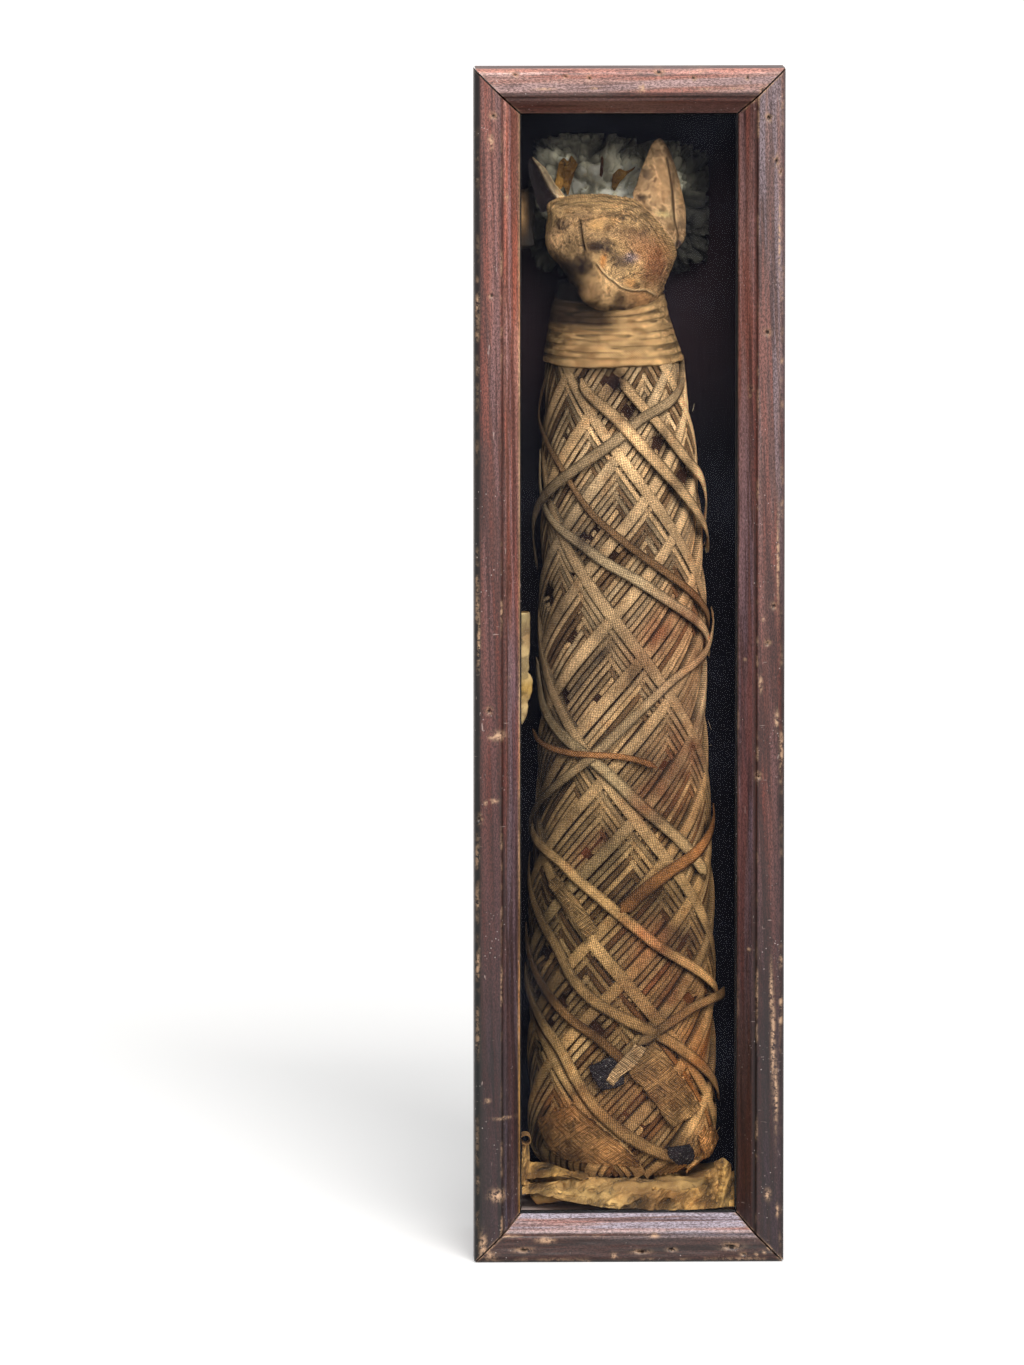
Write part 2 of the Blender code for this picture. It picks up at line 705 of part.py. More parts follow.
def head_skin(name, grow, finish):
    around = 32
    tilts = [math.radians(-50 + 134 * k / 15) for k in range(16)]
    rings = [[head_point(2 * math.pi * i / around, tilt, grow) for i in range(around)]
             for tilt in tilts]
    builder = bmesh.new()
    loft(builder, rings)
    return new_object(name, builder, finish, smooth_angle=60)


def ear(name, foot, tip, width, cup, lean, finish, cutter):
    """A pointed, cupped ear of stiffened linen, cut to seat on the head."""
    up = tip - foot
    side = Vector((math.cos(lean), math.sin(lean), 0))
    out = up.cross(side).normalized()
    rings = []
    rows = 8
    for k in range(rows + 1):
        t = k / rows
        half = width / 2 * (1 - t) ** 0.65 * (1 + 0.55 * t) + 0.5 * MM
        middle = foot + up * t
        front = []
        back = []
        for i in range(7):
            s = -1 + i / 3
            bow = cup * (1 - t * 0.7) * s * s
            point = middle + side * (half * s) + out * bow
            front.append(point + out * EAR_THICK / 2)
            back.append(point - out * EAR_THICK / 2)
        rings.append(front + list(reversed(back)))
    builder = bmesh.new()
    loft(builder, rings)
    obj = new_object(name, builder, finish, smooth_angle=60)
    cut_with(obj, cutter)
    return obj


# Ears: foot and tip of each, right and back of the middle of the head and above the crown
RIGHT_EAR_FOOT = (25 * MM, 4 * MM, -18 * MM)
RIGHT_EAR_TIP = (22 * MM, 6 * MM, EAR_RISE)
RIGHT_EAR_WIDE = 25 * MM
RIGHT_EAR_CUP = 5 * MM
RIGHT_EAR_TURN = 0.25
LEFT_EAR_FOOT = (-24 * MM, 2 * MM, -20 * MM)
LEFT_EAR_TIP = (-39 * MM, 2 * MM, 0.68 * EAR_RISE)
LEFT_EAR_WIDE = 23 * MM
LEFT_EAR_CUP = -6 * MM
LEFT_EAR_TURN = -0.30
EAR_THICK = 1.8 * MM


def off_crown(offset):
    return Vector((HEAD_SHIFT, HEAD_CENTRE.y, CROWN)) + Vector(offset)


def build_head():
    head_skin("head", 0, linen())
    seat = head_skin("head_clearance", GAP, linen())
    seat.hide_render = True
    seat.display_type = "WIRE"
    ear("right_ear", off_crown(RIGHT_EAR_FOOT), off_crown(RIGHT_EAR_TIP), RIGHT_EAR_WIDE, RIGHT_EAR_CUP,
        RIGHT_EAR_TURN, linen(), seat)
    ear("left_ear", off_crown(LEFT_EAR_FOOT), off_crown(LEFT_EAR_TIP), LEFT_EAR_WIDE, LEFT_EAR_CUP,
        LEFT_EAR_TURN, dark_linen(), seat)


# Packing

ROLL_RADIUS = 4.2 * MM
ROLL_LENGTH = 50 * MM
ROLL_FOOT = 0.545               # height share of the bundle beside which the roll is wedged
SIDE_WAD_HIGH = 40 * MM
SIDE_WAD_DEEP = 22 * MM
SIDE_FOLD_HIGH = 26 * MM
SIDE_FOLD_DEEP = 17 * MM
SIDE_WAD_OVER = 1.5 * MM        # how far a side wad reaches in over the bundle's side
SIDE_FOLD_OVER = 0.5 * MM
ROLL_OFF_GLASS = 3 * MM
WAD_SPACE = 2 * MM              # left in front of the packing and behind it
WAD_PRESS = 4 * MM              # how much of the floor wad is pressed flat, above and below


def crumple(name, low, high, finish, seed, around=16, rows=8, depth=0.16):
    """A crumpled wad of paper that fills a box: a rounded block with creased dents."""
    low = Vector(low)
    high = Vector(high)
    centre = (low + high) / 2
    half = (high - low) / 2
    rings = []
    for k in range(rows + 1):
        tilt = math.pi * (-0.5 + (k + 0.25) / (rows + 0.5))
        ring = []
        for i in range(around):
            turn = 2 * math.pi * i / around
            way = Vector((math.cos(tilt) * math.cos(turn), math.cos(tilt) * math.sin(turn), math.sin(tilt)))
            block = 0.45 * way + 0.55 * way / max(abs(way.x), abs(way.y), abs(way.z))
            crease = abs(math.sin(2.5 * turn + seed + 1.3 * math.sin(2 * tilt + seed)))
            crease += 0.6 * abs(math.sin(4 * turn - 2 * seed + 2 * tilt))
            scale = 1 - depth * (1.6 - crease) / 1.6
            ring.append(Vector(centre[a] + half[a] * max(-1, min(1, block[a] * scale)) for a in range(3)))
        rings.append(ring)
    builder = bmesh.new()
    loft(builder, rings)
    return new_object(name, builder, finish, smooth_angle=30)


def press_flat(obj, low_z, high_z):
    """Seat a wad: press its lowest and highest parts onto two levels."""
    for vert in obj.data.vertices:
        vert.co.z = min(max(vert.co.z, low_z), high_z)


def paper_roll(name, x, y, foot):
    """A sheet of paper rolled to a tube with pinched ends, wedged beside the bundle."""
    builder = bmesh.new()
    rings = []
    for k in range(9):
        t = k / 8
        radius = ROLL_RADIUS * (0.35 + 0.65 * math.sin(math.pi * (0.08 + 0.84 * t)) ** 0.6)
        rings.append([Vector((x + radius * math.cos(a), y + radius * math.sin(a), foot + ROLL_LENGTH * t))
                      for a in (math.pi / 6 * i for i in range(12))])
    loft(builder, rings)
    new_object(name, builder, old_paper(), smooth_angle=50)


def build_packing():
    floor = FLOOR_BOARD + GAP
    wall = INNER_WIDTH / 2 - GAP
    back = CASE_BACK - GAP
    front = CASE_FRONT + WAD_SPACE
    under = BODY_FOOT - GAP
    wad = crumple("floor_wad", (-0.97 * wall, front + WAD_SPACE, floor - WAD_PRESS),
                  (0.97 * wall, back - WAD_SPACE, under + WAD_PRESS), old_paper(), 0.6, around=30, rows=6)
    press_flat(wad, floor, under)
    side_room = wall - BODY_WIDTH / 2
    left = crumple("side_wad_left", (-wall, front, under + GAP),
                   (-wall + side_room + SIDE_WAD_OVER, front + SIDE_WAD_DEEP, floor + SIDE_WAD_HIGH),
                   old_paper(), 2.1, around=14)
    press_flat(left, under + GAP, floor + SIDE_WAD_HIGH)
    right = crumple("side_wad_right", (wall - side_room - SIDE_FOLD_OVER, front, under + GAP),
                    (wall, front + SIDE_FOLD_DEEP, floor + SIDE_FOLD_HIGH), old_paper(), 4.0, around=14)
    press_flat(right, under + GAP, floor + SIDE_FOLD_HIGH)
    paper_roll("side_paper_roll", -wall + ROLL_RADIUS, front + ROLL_RADIUS + ROLL_OFF_GLASS,
               BODY_FOOT + BODY_HEIGHT * ROLL_FOOT)
    low = HEAD_SEAT + 0.25 * HEAD_HEIGHT
    near = HEAD_CENTRE.y + HEAD_HALF_DEEP + GAP
    high = CROWN + EAR_RISE
    crumple("head_packing_left", (-0.84 * wall, near, low), (0.08 * wall, back, high - 1 * MM),
            grey_paper(), 1.3, around=20, rows=10, depth=0.2)
    crumple("head_packing_right", (0.10 * wall, near, low), (0.78 * wall, back, high - 5 * MM),
            grey_paper(), 3.1, around=18, rows=10, depth=0.2)


def main():
    for obj in list(bpy.data.objects):
        bpy.data.objects.remove(obj, do_unlink=True)
    stiles = build_frame()
    build_glazing()
    left, right, back = build_case()
    build_frame_nails(stiles, (left, right))
    build_back_screws(back, (left, right))
    build_body()
    build_lattice()
    build_loose_strips()
    build_neck_winding()
    build_head()
    build_packing()


main()
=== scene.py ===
# The looks of a wrapped cat mummy in its glazed wooden case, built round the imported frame.
# Metres, +Z up, the glass faces -Y.
import math
import bpy
import numpy as np
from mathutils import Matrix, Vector


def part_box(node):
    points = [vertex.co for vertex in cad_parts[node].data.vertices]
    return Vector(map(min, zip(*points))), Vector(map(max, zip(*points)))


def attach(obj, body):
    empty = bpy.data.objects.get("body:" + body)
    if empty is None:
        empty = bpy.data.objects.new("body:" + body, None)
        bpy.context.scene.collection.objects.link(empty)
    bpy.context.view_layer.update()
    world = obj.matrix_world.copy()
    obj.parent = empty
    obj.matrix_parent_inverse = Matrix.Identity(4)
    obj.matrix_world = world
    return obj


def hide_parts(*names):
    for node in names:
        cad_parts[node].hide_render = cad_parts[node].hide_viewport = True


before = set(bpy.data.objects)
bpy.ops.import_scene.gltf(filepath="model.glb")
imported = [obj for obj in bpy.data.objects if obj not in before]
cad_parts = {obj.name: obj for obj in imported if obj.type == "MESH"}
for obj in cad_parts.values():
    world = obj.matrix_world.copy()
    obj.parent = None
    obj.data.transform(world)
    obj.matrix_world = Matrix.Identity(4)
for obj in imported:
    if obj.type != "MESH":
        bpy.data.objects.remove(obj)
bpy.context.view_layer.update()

MM = 0.001
PX = 0.4842 * MM                # one photo pixel on the front of the frame
TILT = math.radians(7.0)        # the camera looks down this much
SWING = math.radians(-1.5)      # and stands this far round to the left
MIDDLE_COLUMN = 628.2           # photo pixel column of the frame's middle
FOOT_ROW = 1263.0               # photo pixel row of the frame's foot
BEHIND = 30 * MM                # about how far what is seen through the glass lies behind the frame's face

# Sizes that the frame gives
FRAME_LOW, FRAME_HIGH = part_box("frame_left_stile")
HALF_WIDE = -FRAME_LOW.x
FRONT = FRAME_LOW.y
FRAME_BACK = FRAME_HIGH.y
HEIGHT = FRAME_HIGH.z
INNER_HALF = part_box("case_right_side")[0].x
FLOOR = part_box("case_floor_board")[1].z
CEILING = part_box("case_top_board")[0].z
INNER_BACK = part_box("case_back_board")[0].y


def from_photo(px, py, depth=0.0):
    """The place in the row frame that a photo pixel shows, at a depth behind the frame's face."""
    z = ((FOOT_ROW - py) * PX - depth * math.sin(TILT)) / math.cos(TILT)
    x = ((px - MIDDLE_COLUMN) * PX - depth * math.sin(SWING)) / math.cos(SWING)
    return x, z


def to_photo(x, z, depth):
    """The photo pixel of a place: the other way round from from_photo."""
    px = MIDDLE_COLUMN + (x * math.cos(SWING) + depth * math.sin(SWING)) / PX
    py = FOOT_ROW - (z * math.cos(TILT) + depth * math.sin(TILT)) / PX
    return px, py


# Even noise and smooth curves

def stacked(*parts):
    """Points from their separate numbers, each spread to the shape of all."""
    return np.stack(np.broadcast_arrays(*parts), -1)


def hashed(ix, iy, iz, seed):
    """A steady number from -1 to 1 for each corner of a grid of cells."""
    n = (ix * 374761393 + iy * 668265263 + iz * 2147483647 + seed * 974634777) & 0xFFFFFFFF
    n = ((n ^ (n >> 13)) * 1274126177) & 0xFFFFFFFF
    return ((n ^ (n >> 16)) & 0xFFFF) / 32767.5 - 1


def noise(points, size, seed=0, octaves=1):
    """Smooth value noise from -1 to 1 at points, with features of a size in metres."""
    total = 0.0
    weight = 1.0
    for octave in range(octaves):
        p = np.asarray(points, float) / size * 2**octave + 100.5
        cell = np.floor(p).astype(np.int64)
        t = p - cell
        t = t * t * (3 - 2 * t)
        value = 0.0
        for corner in range(8):
            step = np.array([corner & 1, corner >> 1 & 1, corner >> 2])
            part = np.prod(np.where(step, t, 1 - t), axis=-1)
            i = cell + step
            value = value + part * hashed(i[..., 0], i[..., 1], i[..., 2], seed + octave)
        total = total + value * weight
        weight *= 0.5
    return total


def along_noise(s, size, seed, octaves=1):
    """Smooth noise along a line, at distances s."""
    s = np.asarray(s, float)
    return noise(stacked(s, seed * 7.31 * size, 0), size, seed, octaves)


def hump(value, middle, breadth):
    """A smooth rise to 1 where value is at its middle, over about a breadth to each side."""
    return np.exp(-(((value - middle) / breadth) ** 2))


def ramp(value, breadth):
    """A smooth climb from 0 to 1 where value passes zero."""
    return 1 / (1 + np.exp(-value / breadth))


def blend(tint, colour, share):
    """Tints moved towards a colour, by a share from 0 to 1 at each point."""
    share = share[..., None]
    return tint * (1 - share) + np.asarray(colour) * share


def turned(across, up, degrees):
    """The two parts of a step, along axes that are turned by some degrees."""
    a = math.radians(degrees)
    return across * math.cos(a) + up * math.sin(a), up * math.cos(a) - across * math.sin(a)


def bump_at(x, z, px, py, wide, high, turn=0.0, depth=0.0):
    """A round falloff from 1 to 0 round a place in the photo, for points x and z."""
    cx, cz = from_photo(px, py, depth)
    u, v = turned(x - cx, z - cz, turn)
    return np.exp(-((u / (wide * PX)) ** 2 + (v / (high * PX)) ** 2))


def spline(rows, t):
    """Smooth values at places t between evenly numbered rows."""
    rows = np.array(rows, float)
    last = len(rows) - 2
    rows = np.concatenate([2 * rows[:1] - rows[1:2], rows, 2 * rows[-1:] - rows[-2:-1]])
    k = np.clip(np.floor(t).astype(int), 0, last)
    f = (t - k).reshape(-1, *[1] * (rows.ndim - 1))
    p0, p1, p2, p3 = (rows[k + i] for i in range(4))
    return 0.5 * (2 * p1 + (p2 - p0) * f + (2 * p0 - 5 * p1 + 4 * p2 - p3) * f**2
                  + (3 * p1 - p0 - 3 * p2 + p3) * f**3)


def curve_through(points, step):
    """Even points on a smooth curve through a few rows of numbers, and the way walked to each."""
    rows = np.array(points, float)
    dense = np.vstack([spline(rows, np.arange(30 * (len(rows) - 1)) / 30), rows[-1:]])
    walked = np.r_[0, np.cumsum(np.linalg.norm(np.diff(dense[:, :2], axis=0), axis=1))]
    count = max(3, int(round(walked[-1] / step)) + 1)
    at = np.linspace(0, walked[-1], count)
    return np.stack([np.interp(at, walked, column) for column in dense.T], -1), at


# Meshes

def piece(name, points, faces, finish, smooth=True, slot=None, replaces=(), **attributes):
    """One shown piece from points and faces, with per-point values for its material."""
    mesh = bpy.data.meshes.new(name)
    mesh.from_pydata(np.asarray(points).reshape(-1, 3).tolist(), [], [list(f) for f in faces])
    mesh.validate()
    mesh.update()
    for key, values in attributes.items():
        values = np.asarray(values, float)
        single = values.ndim == 1
        kind, field = ("FLOAT", "value") if single else ("FLOAT_COLOR", "color")
        layer = mesh.attributes.new(key, kind, "POINT")
        if not single:
            values = np.c_[values.reshape(-1, 3), np.ones(len(values))]
        layer.data.foreach_set(field, values.ravel().astype(np.float32))
    mesh.polygons.foreach_set("use_smooth", [smooth] * len(mesh.polygons))
    obj = bpy.data.objects.new(name, mesh)
    bpy.context.scene.collection.objects.link(obj)
    mesh.materials.append(finish)
    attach(obj, "root")
    if replaces:
        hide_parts(*replaces)
    return obj


def grid_faces(rows, columns, start=0, closed=False):
    """Quads over a grid of points, rows by columns. A closed grid joins its last column to its first."""
    i = np.arange(rows - 1)[:, None]
    j = np.arange(columns if closed else columns - 1)[None, :]
    k = (j + 1) % columns
    quads = np.stack([i * columns + j, i * columns + k, (i + 1) * columns + k, (i + 1) * columns + j], -1)
    return (quads.reshape(-1, 4) + start).tolist()


def section_of(front, back):
    """A closed section: the front skin's columns, then the back skin's the other way round."""
    return np.concatenate([front, back[:, ::-1]], 1)


class Pile:
    """Gathers many grids of points into one mesh."""

    def __init__(self):
        self.points = []
        self.faces = []
        self.values = {}
        self.count = 0

    def add(self, points, closed=False, caps=False, flip=False, **values):
        """One more grid, rows by columns. A closed one joins up across its rows, and caps close its ends."""
        rows, columns = points.shape[:2]
        faces = grid_faces(rows, columns, self.count, closed)
        if caps:
            faces.append([self.count + j for j in range(columns)][::-1])
            faces.append([self.count + (rows - 1) * columns + j for j in range(columns)])
        if flip:
            faces = [face[::-1] for face in faces]
        self.points.append(points.reshape(-1, 3))
        self.faces += faces
        for key, value in values.items():
            width = np.asarray(value).shape[-1] if np.asarray(value).ndim in (1, 3) else 1
            shape = (rows, columns, 3) if width == 3 else (rows, columns)
            full = np.broadcast_to(value, shape)
            self.values.setdefault(key, []).append(full.reshape(-1, 3) if width == 3 else full.ravel())
        self.count += rows * columns

    def make(self, name, finish, **options):
        """The piece that all the grids make up."""
        values = {key: np.concatenate(parts) for key, parts in self.values.items()}
        return piece(name, np.concatenate(self.points), self.faces, finish, **options, **values)


def rgb(*levels):
    """A colour as written on screen, in 0 to 255, as linear light."""
    return tuple(((v / 255 + 0.055) / 1.055) ** 2.4 if v > 10 else v / 255 / 12.92 for v in levels)


# Materials

class Graph:
    """A material's node tree, with short names for the nodes that are used most."""

    def __init__(self, name, roughness=0.8):
        self.material = bpy.data.materials.new(name)
        self.material.use_nodes = True
        self.tree = self.material.node_tree
        self.shader = self.tree.nodes["Principled BSDF"]
        self.shader.inputs["Roughness"].default_value = roughness
        self.place = self.node("ShaderNodeTexCoord").outputs["Object"]

    def node(self, kind, **settings):
        made = self.tree.nodes.new(kind)
        for key, value in settings.items():
            setattr(made, key, value)
        return made

    def set(self, made, key, value):
        target = made.inputs[key]
        if isinstance(value, bpy.types.NodeSocket):
            self.tree.links.new(value, target)
        elif target.type == "RGBA" and not isinstance(value, (int, float)):
            target.default_value = (*value, 1)
        else:
            target.default_value = value

    def math(self, operation, *values, clamp=False):
        made = self.node("ShaderNodeMath", operation=operation, use_clamp=clamp)
        for k, value in enumerate(values):
            self.set(made, k, value)
        return made.outputs[0]

    def mix(self, factor, one, other, how="MIX"):
        made = self.node("ShaderNodeMix", data_type="RGBA", blend_type=how)
        self.set(made, 0, factor)
        self.set(made, 6, one)
        self.set(made, 7, other)
        return made.outputs[2]

    def noise(self, scale, detail=3.0, rough=0.6, warp=0.0, stretch=None, seed=0.0, at=None):
        made = self.node("ShaderNodeTexNoise", noise_dimensions="4D")
        place = at or self.place
        if stretch:
            mapping = self.node("ShaderNodeMapping")
            self.set(mapping, "Vector", place)
            self.set(mapping, "Scale", stretch)
            place = mapping.outputs[0]
        self.set(made, "Vector", place)
        self.set(made, "W", seed)
        self.set(made, "Scale", scale)
        self.set(made, "Detail", detail)
        self.set(made, "Roughness", rough)
        self.set(made, "Distortion", warp)
        return made.outputs["Fac"]

    def cells(self, scale):
        made = self.node("ShaderNodeTexVoronoi")
        self.set(made, "Vector", self.place)
        self.set(made, "Scale", scale)
        return made.outputs["Distance"]

    def level(self, value, low, high, to_low=0.0, to_high=1.0):
        """A value spread smoothly from its range low to high over another range."""
        made = self.node("ShaderNodeMapRange", interpolation_type="SMOOTHSTEP")
        for k, number in enumerate((value, low, high, to_low, to_high)):
            self.set(made, k, number)
        return made.outputs[0]

    def value(self, name):
        return self.node("ShaderNodeAttribute", attribute_name=name).outputs["Fac"]

    def colour(self, name):
        return self.node("ShaderNodeAttribute", attribute_name=name).outputs["Color"]

    def axis(self, vector=None):
        made = self.node("ShaderNodeSeparateXYZ")
        self.set(made, 0, vector or self.place)
        return made.outputs

    def finish(self, colour, height=None, strength=0.5, distance=0.5 * MM, roughness=None, alpha=None):
        """The material, with its colour and, where they are given, a bump, a roughness and an alpha."""
        self.set(self.shader, "Base Color", colour)
        if height is not None:
            made = self.node("ShaderNodeBump")
            made.inputs["Strength"].default_value = strength
            made.inputs["Distance"].default_value = distance
            self.set(made, "Height", height)
            self.set(self.shader, "Normal", made.outputs[0])
        if roughness is not None:
            self.set(self.shader, "Roughness", roughness)
        if alpha is not None:
            self.set(self.shader, "Alpha", alpha)
        return self.material


THREAD = 1.15 * MM              # pitch of the linen's threads


def cloth_material(name, crossed=0.62, speckle=0.60):
    """Old linen: each place's tint, dark between the threads, with slubs along them and stains."""
    g = Graph(name, 0.92)
    g.shader.inputs["Specular IOR Level"].default_value = 0.25
    threads = g.colour("weave")
    u, v, _ = g.axis(threads)
    turns = 2 * math.pi / THREAD
    across = g.math("SINE", g.math("MULTIPLY", u, turns))
    along = g.math("SINE", g.math("MULTIPLY", v, turns))
    cross = g.math("MULTIPLY", across, along)
    fine = g.noise(2000, 2.0, 0.7)
    slub = g.noise(900, 2.0, 0.6, seed=2.0, stretch=[0.5, 1.0, 1.0], at=threads)
    blotch = g.noise(110, 4.0, 0.65, warp=0.4, seed=4.0)
    shade = g.math("MULTIPLY", g.level(fine, 0.34, 0.64, 1 - speckle, 1 + speckle * 0.95),
                   g.level(slub, 0.34, 0.62, 0.90, 1.06))
    shade = g.math("MULTIPLY", shade, g.level(cross, -0.7, 0.7, 1.0 - crossed, 1.0 + crossed * 0.75))
    shade = g.math("MULTIPLY", shade, g.level(blotch, 0.36, 0.60, 0.80, 1.10))
    rust = g.level(g.noise(150, 4.0, 0.65, seed=9.0), 0.53, 0.66, 0.0, 0.35)
    colour = g.mix(rust, g.colour("tint"), g.mix(1.0, g.colour("tint"), (0.62, 0.40, 0.24), "MULTIPLY"))
    scaled = g.node("ShaderNodeVectorMath", operation="SCALE")
    g.set(scaled, 0, colour)
    g.set(scaled, "Scale", shade)
    height = g.math("ADD", g.math("MULTIPLY", fine, 0.6), g.math("MULTIPLY", slub, 0.4))
    height = g.math("ADD", height, g.math("MULTIPLY", cross, 0.20))
    return g.finish(scaled.outputs[0], height, 0.8, 0.5 * MM)


def one_axis(axis, along, across):
    """Three numbers, of which one is for the axis that the grain runs along."""
    return [along if k == axis else across for k in range(3)]


def wood_material(name, grain_along):
    """Worn varnished wood: the tone of each place, with dark, red and grey stripes along the grain."""
    g = Graph(name, 0.42)
    g.shader.inputs["Specular IOR Level"].default_value = 0.35
    long = one_axis(grain_along, 0.8, 22.0)
    broad = one_axis(grain_along, 0.22, 6.0)
    slant = g.node("ShaderNodeMapping")
    g.set(slant, "Vector", g.place)
    slant.inputs["Rotation"].default_value = (0, math.radians(1.6), 0)
    grain = slant.outputs[0]
    stripe = g.noise(12, 4.0, 0.62, warp=0.25, stretch=long, at=grain)
    wide = g.noise(36, 3.0, 0.55, warp=0.3, stretch=broad, seed=1.5, at=grain)
    broadest = g.noise(24, 2.0, 0.5, warp=0.3, stretch=broad, seed=4.5, at=grain)
    fibre = g.noise(70, 4.0, 0.75, stretch=long, seed=3.0, at=grain)
    powder = g.noise(1100, 2.0, 0.75, seed=6.0, stretch=[v * 0.04 + 0.6 for v in long])
    pattern = g.mix(g.level(broadest, 0.45, 0.55), (0.62, 0.52, 0.48), (1.30, 1.20, 1.15))
    pattern = g.mix(g.level(wide, 0.51, 0.60, 0.0, 0.9), pattern, (1.16, 0.74, 0.62))
    haze = g.math("MULTIPLY", g.level(wide, 0.50, 0.42), g.value("haze"))
    haze = g.math("MULTIPLY", haze, g.level(powder, 0.30, 0.62, 0.55, 1.1), clamp=True)
    pattern = g.mix(haze, pattern, (1.22, 1.46, 1.70))
    pattern = g.mix(g.level(stripe, 0.47, 0.37, 0.0, 0.85), pattern, (0.36, 0.28, 0.28))
    pattern = g.mix(g.level(fibre, 0.53, 0.66, 0.0, 0.8), pattern, (0.32, 0.26, 0.28))
    colour = g.mix(1.0, g.colour("tone"), pattern, "MULTIPLY")
    scaled = g.node("ShaderNodeVectorMath", operation="SCALE")
    g.set(scaled, 0, colour)
    g.set(scaled, "Scale", g.level(powder, 0.36, 0.64, 0.52, 1.66))
    colour = scaled.outputs[0]
    patchy = g.level(g.noise(420, 4.0, 0.72, seed=8.0), 0.40, 0.58)
    colour = g.mix(g.math("MULTIPLY", g.value("wear"), patchy, clamp=True), colour, rgb(200, 162, 130))
    crowded = g.level(g.noise(60, 3.0, 0.6, seed=12.0), 0.52, 0.64)
    speck = g.math("MULTIPLY", g.level(g.cells(480), 0.17, 0.11), crowded)
    colour = g.mix(g.math("MULTIPLY", speck, 0.6), colour, rgb(190, 176, 172))
    for stretch, seed in (([v * 0.06 + 0.4 for v in long], 11.0), (one_axis(grain_along, 3.0, 0.5), 13.0)):
        scratch = g.noise(260, 2.0, 0.5, seed=seed, stretch=stretch)
        colour = g.mix(g.level(scratch, 0.71, 0.77, 0.0, 0.5), colour, rgb(184, 162, 154))
    colour = g.mix(g.value("hole"), colour, rgb(14, 8, 8))
    height = g.math("ADD", g.math("MULTIPLY", fibre, 0.5), g.math("MULTIPLY", stripe, 0.3))
    return g.finish(colour, height, 0.4, 0.5 * MM, roughness=g.level(haze, 0.0, 0.8, 0.42, 0.62))


def case_material():
    """The case: dull stained wood outside, and blackened blue-brown inside."""
    g = Graph("case_boards", 0.7)
    g.shader.inputs["Specular IOR Level"].default_value = 0.12
    x, y, z = g.axis()[:3]
    outside = g.math("GREATER_THAN", g.math("ABSOLUTE", x), INNER_HALF + 0.2 * MM)
    above = g.math("GREATER_THAN", z, CEILING + 0.3 * MM)
    below = g.math("LESS_THAN", z, FLOOR - 0.3 * MM)
    behind = g.math("GREATER_THAN", y, INNER_BACK + 0.3 * MM)
    shell = g.math("MAXIMUM", g.math("MAXIMUM", outside, above), g.math("MAXIMUM", below, behind))
    streak = g.noise(60, 4.0, 0.65, stretch=[6.0, 6.0, 0.7])
    stain = g.mix(g.level(streak, 0.35, 0.65), rgb(58, 34, 27), rgb(92, 56, 42))
    faded = g.noise(40, 4.0, 0.65, seed=2.0, stretch=[2.0, 2.0, 0.5])
    stain = g.mix(g.level(faded, 0.5, 0.72, 0.0, 0.3), stain, rgb(104, 76, 64))
    dust = g.level(g.noise(240, 3.0, 0.7, seed=6.0), 0.55, 0.75, 0.0, 0.6)
    inner = g.mix(dust, rgb(17, 15, 21), rgb(36, 32, 40))
    on_floor = g.math("MULTIPLY", g.math("LESS_THAN", z, FLOOR + 0.3 * MM), g.math("SUBTRACT", 1.0, shell))
    # Painted light: the case floor is coloured near white, far lighter than its grey dust
    inner = g.mix(on_floor, inner, g.mix(dust, rgb(226, 204, 196), rgb(250, 240, 234)))
    # Painted light: a lighter, warmer band on the back board behind the head and neck
    on_back = g.math("GREATER_THAN", y, INNER_BACK - 1.0 * MM)
    painted_glow_band = g.math("MULTIPLY", g.level(z, 0.38, 0.44), g.level(z, 0.545, 0.505))
    inner = g.mix(g.math("MULTIPLY", on_back, painted_glow_band), inner, rgb(36, 24, 28))
    return g.finish(g.mix(shell, inner, stain), streak, 0.3, 0.4 * MM)


def glass_material():
    """Old window glass, thin in the light, with specks of dust that hold it."""
    g = Graph("dusty_glass", 0.06)
    g.shader.inputs["IOR"].default_value = 1.5
    specks = g.level(g.cells(520), 0.10, 0.05)
    chosen = g.level(g.noise(330, 2.0, 0.5, seed=3.0), 0.63, 0.70)
    haze = g.level(g.noise(26, 4.0, 0.6, seed=5.0), 0.45, 0.8, 0.0, 0.05)
    speck = g.math("MULTIPLY", specks, chosen)
    colour = g.mix(speck, rgb(40, 44, 60), rgb(205, 205, 200))
    alpha = g.math("ADD", g.math("MULTIPLY", speck, 0.55), g.math("ADD", haze, 0.03), clamp=True)
    return g.finish(colour, alpha=alpha)


def paper_material(name, base, deep, spots):
    """Old paper or wadding: two tones and two sizes of spots, under each place's tint."""
    g = Graph(name, 0.85)
    tone = g.noise(45, 4.0, 0.6, warp=0.3)
    colour = g.mix(g.level(tone, 0.35, 0.65), deep, base)
    colour = g.mix(g.level(g.noise(420, 3.0, 0.7, seed=3.0), 0.58, 0.72, 0.0, 0.5), colour, spots)
    colour = g.mix(g.level(g.noise(90, 3.0, 0.6, seed=5.0), 0.6, 0.75, 0.0, 0.5), colour, spots)
    colour = g.mix(1.0, colour, g.colour("tint"), "MULTIPLY")
    return g.finish(colour, g.noise(650, 3.0, 0.6, seed=8.0), 0.25, 0.3 * MM)


def metal_material(name, colour, rust):
    """Dull old metal with spots of rust."""
    g = Graph(name, 0.45)
    g.shader.inputs["Metallic"].default_value = 1.0
    spots = g.level(g.noise(900, 4.0, 0.7), 0.45, 0.62)
    return g.finish(g.mix(spots, colour, rust), spots, 0.4, 0.2 * MM)


# Wooden frame

FACE_WIDE = 22.4 * MM           # outer edge to the sight opening
FLAT_FACE = 13.2 * MM
SLOPE_START = 15.4 * MM
SLOPE_DEPTH = 12 * MM
QUIRK_DEPTH = 2.4 * MM
LIP = 1.5 * MM
ARRIS = 3.0 * MM
REBATE = 4 * MM
CORNER_GAP = 0.6 * MM
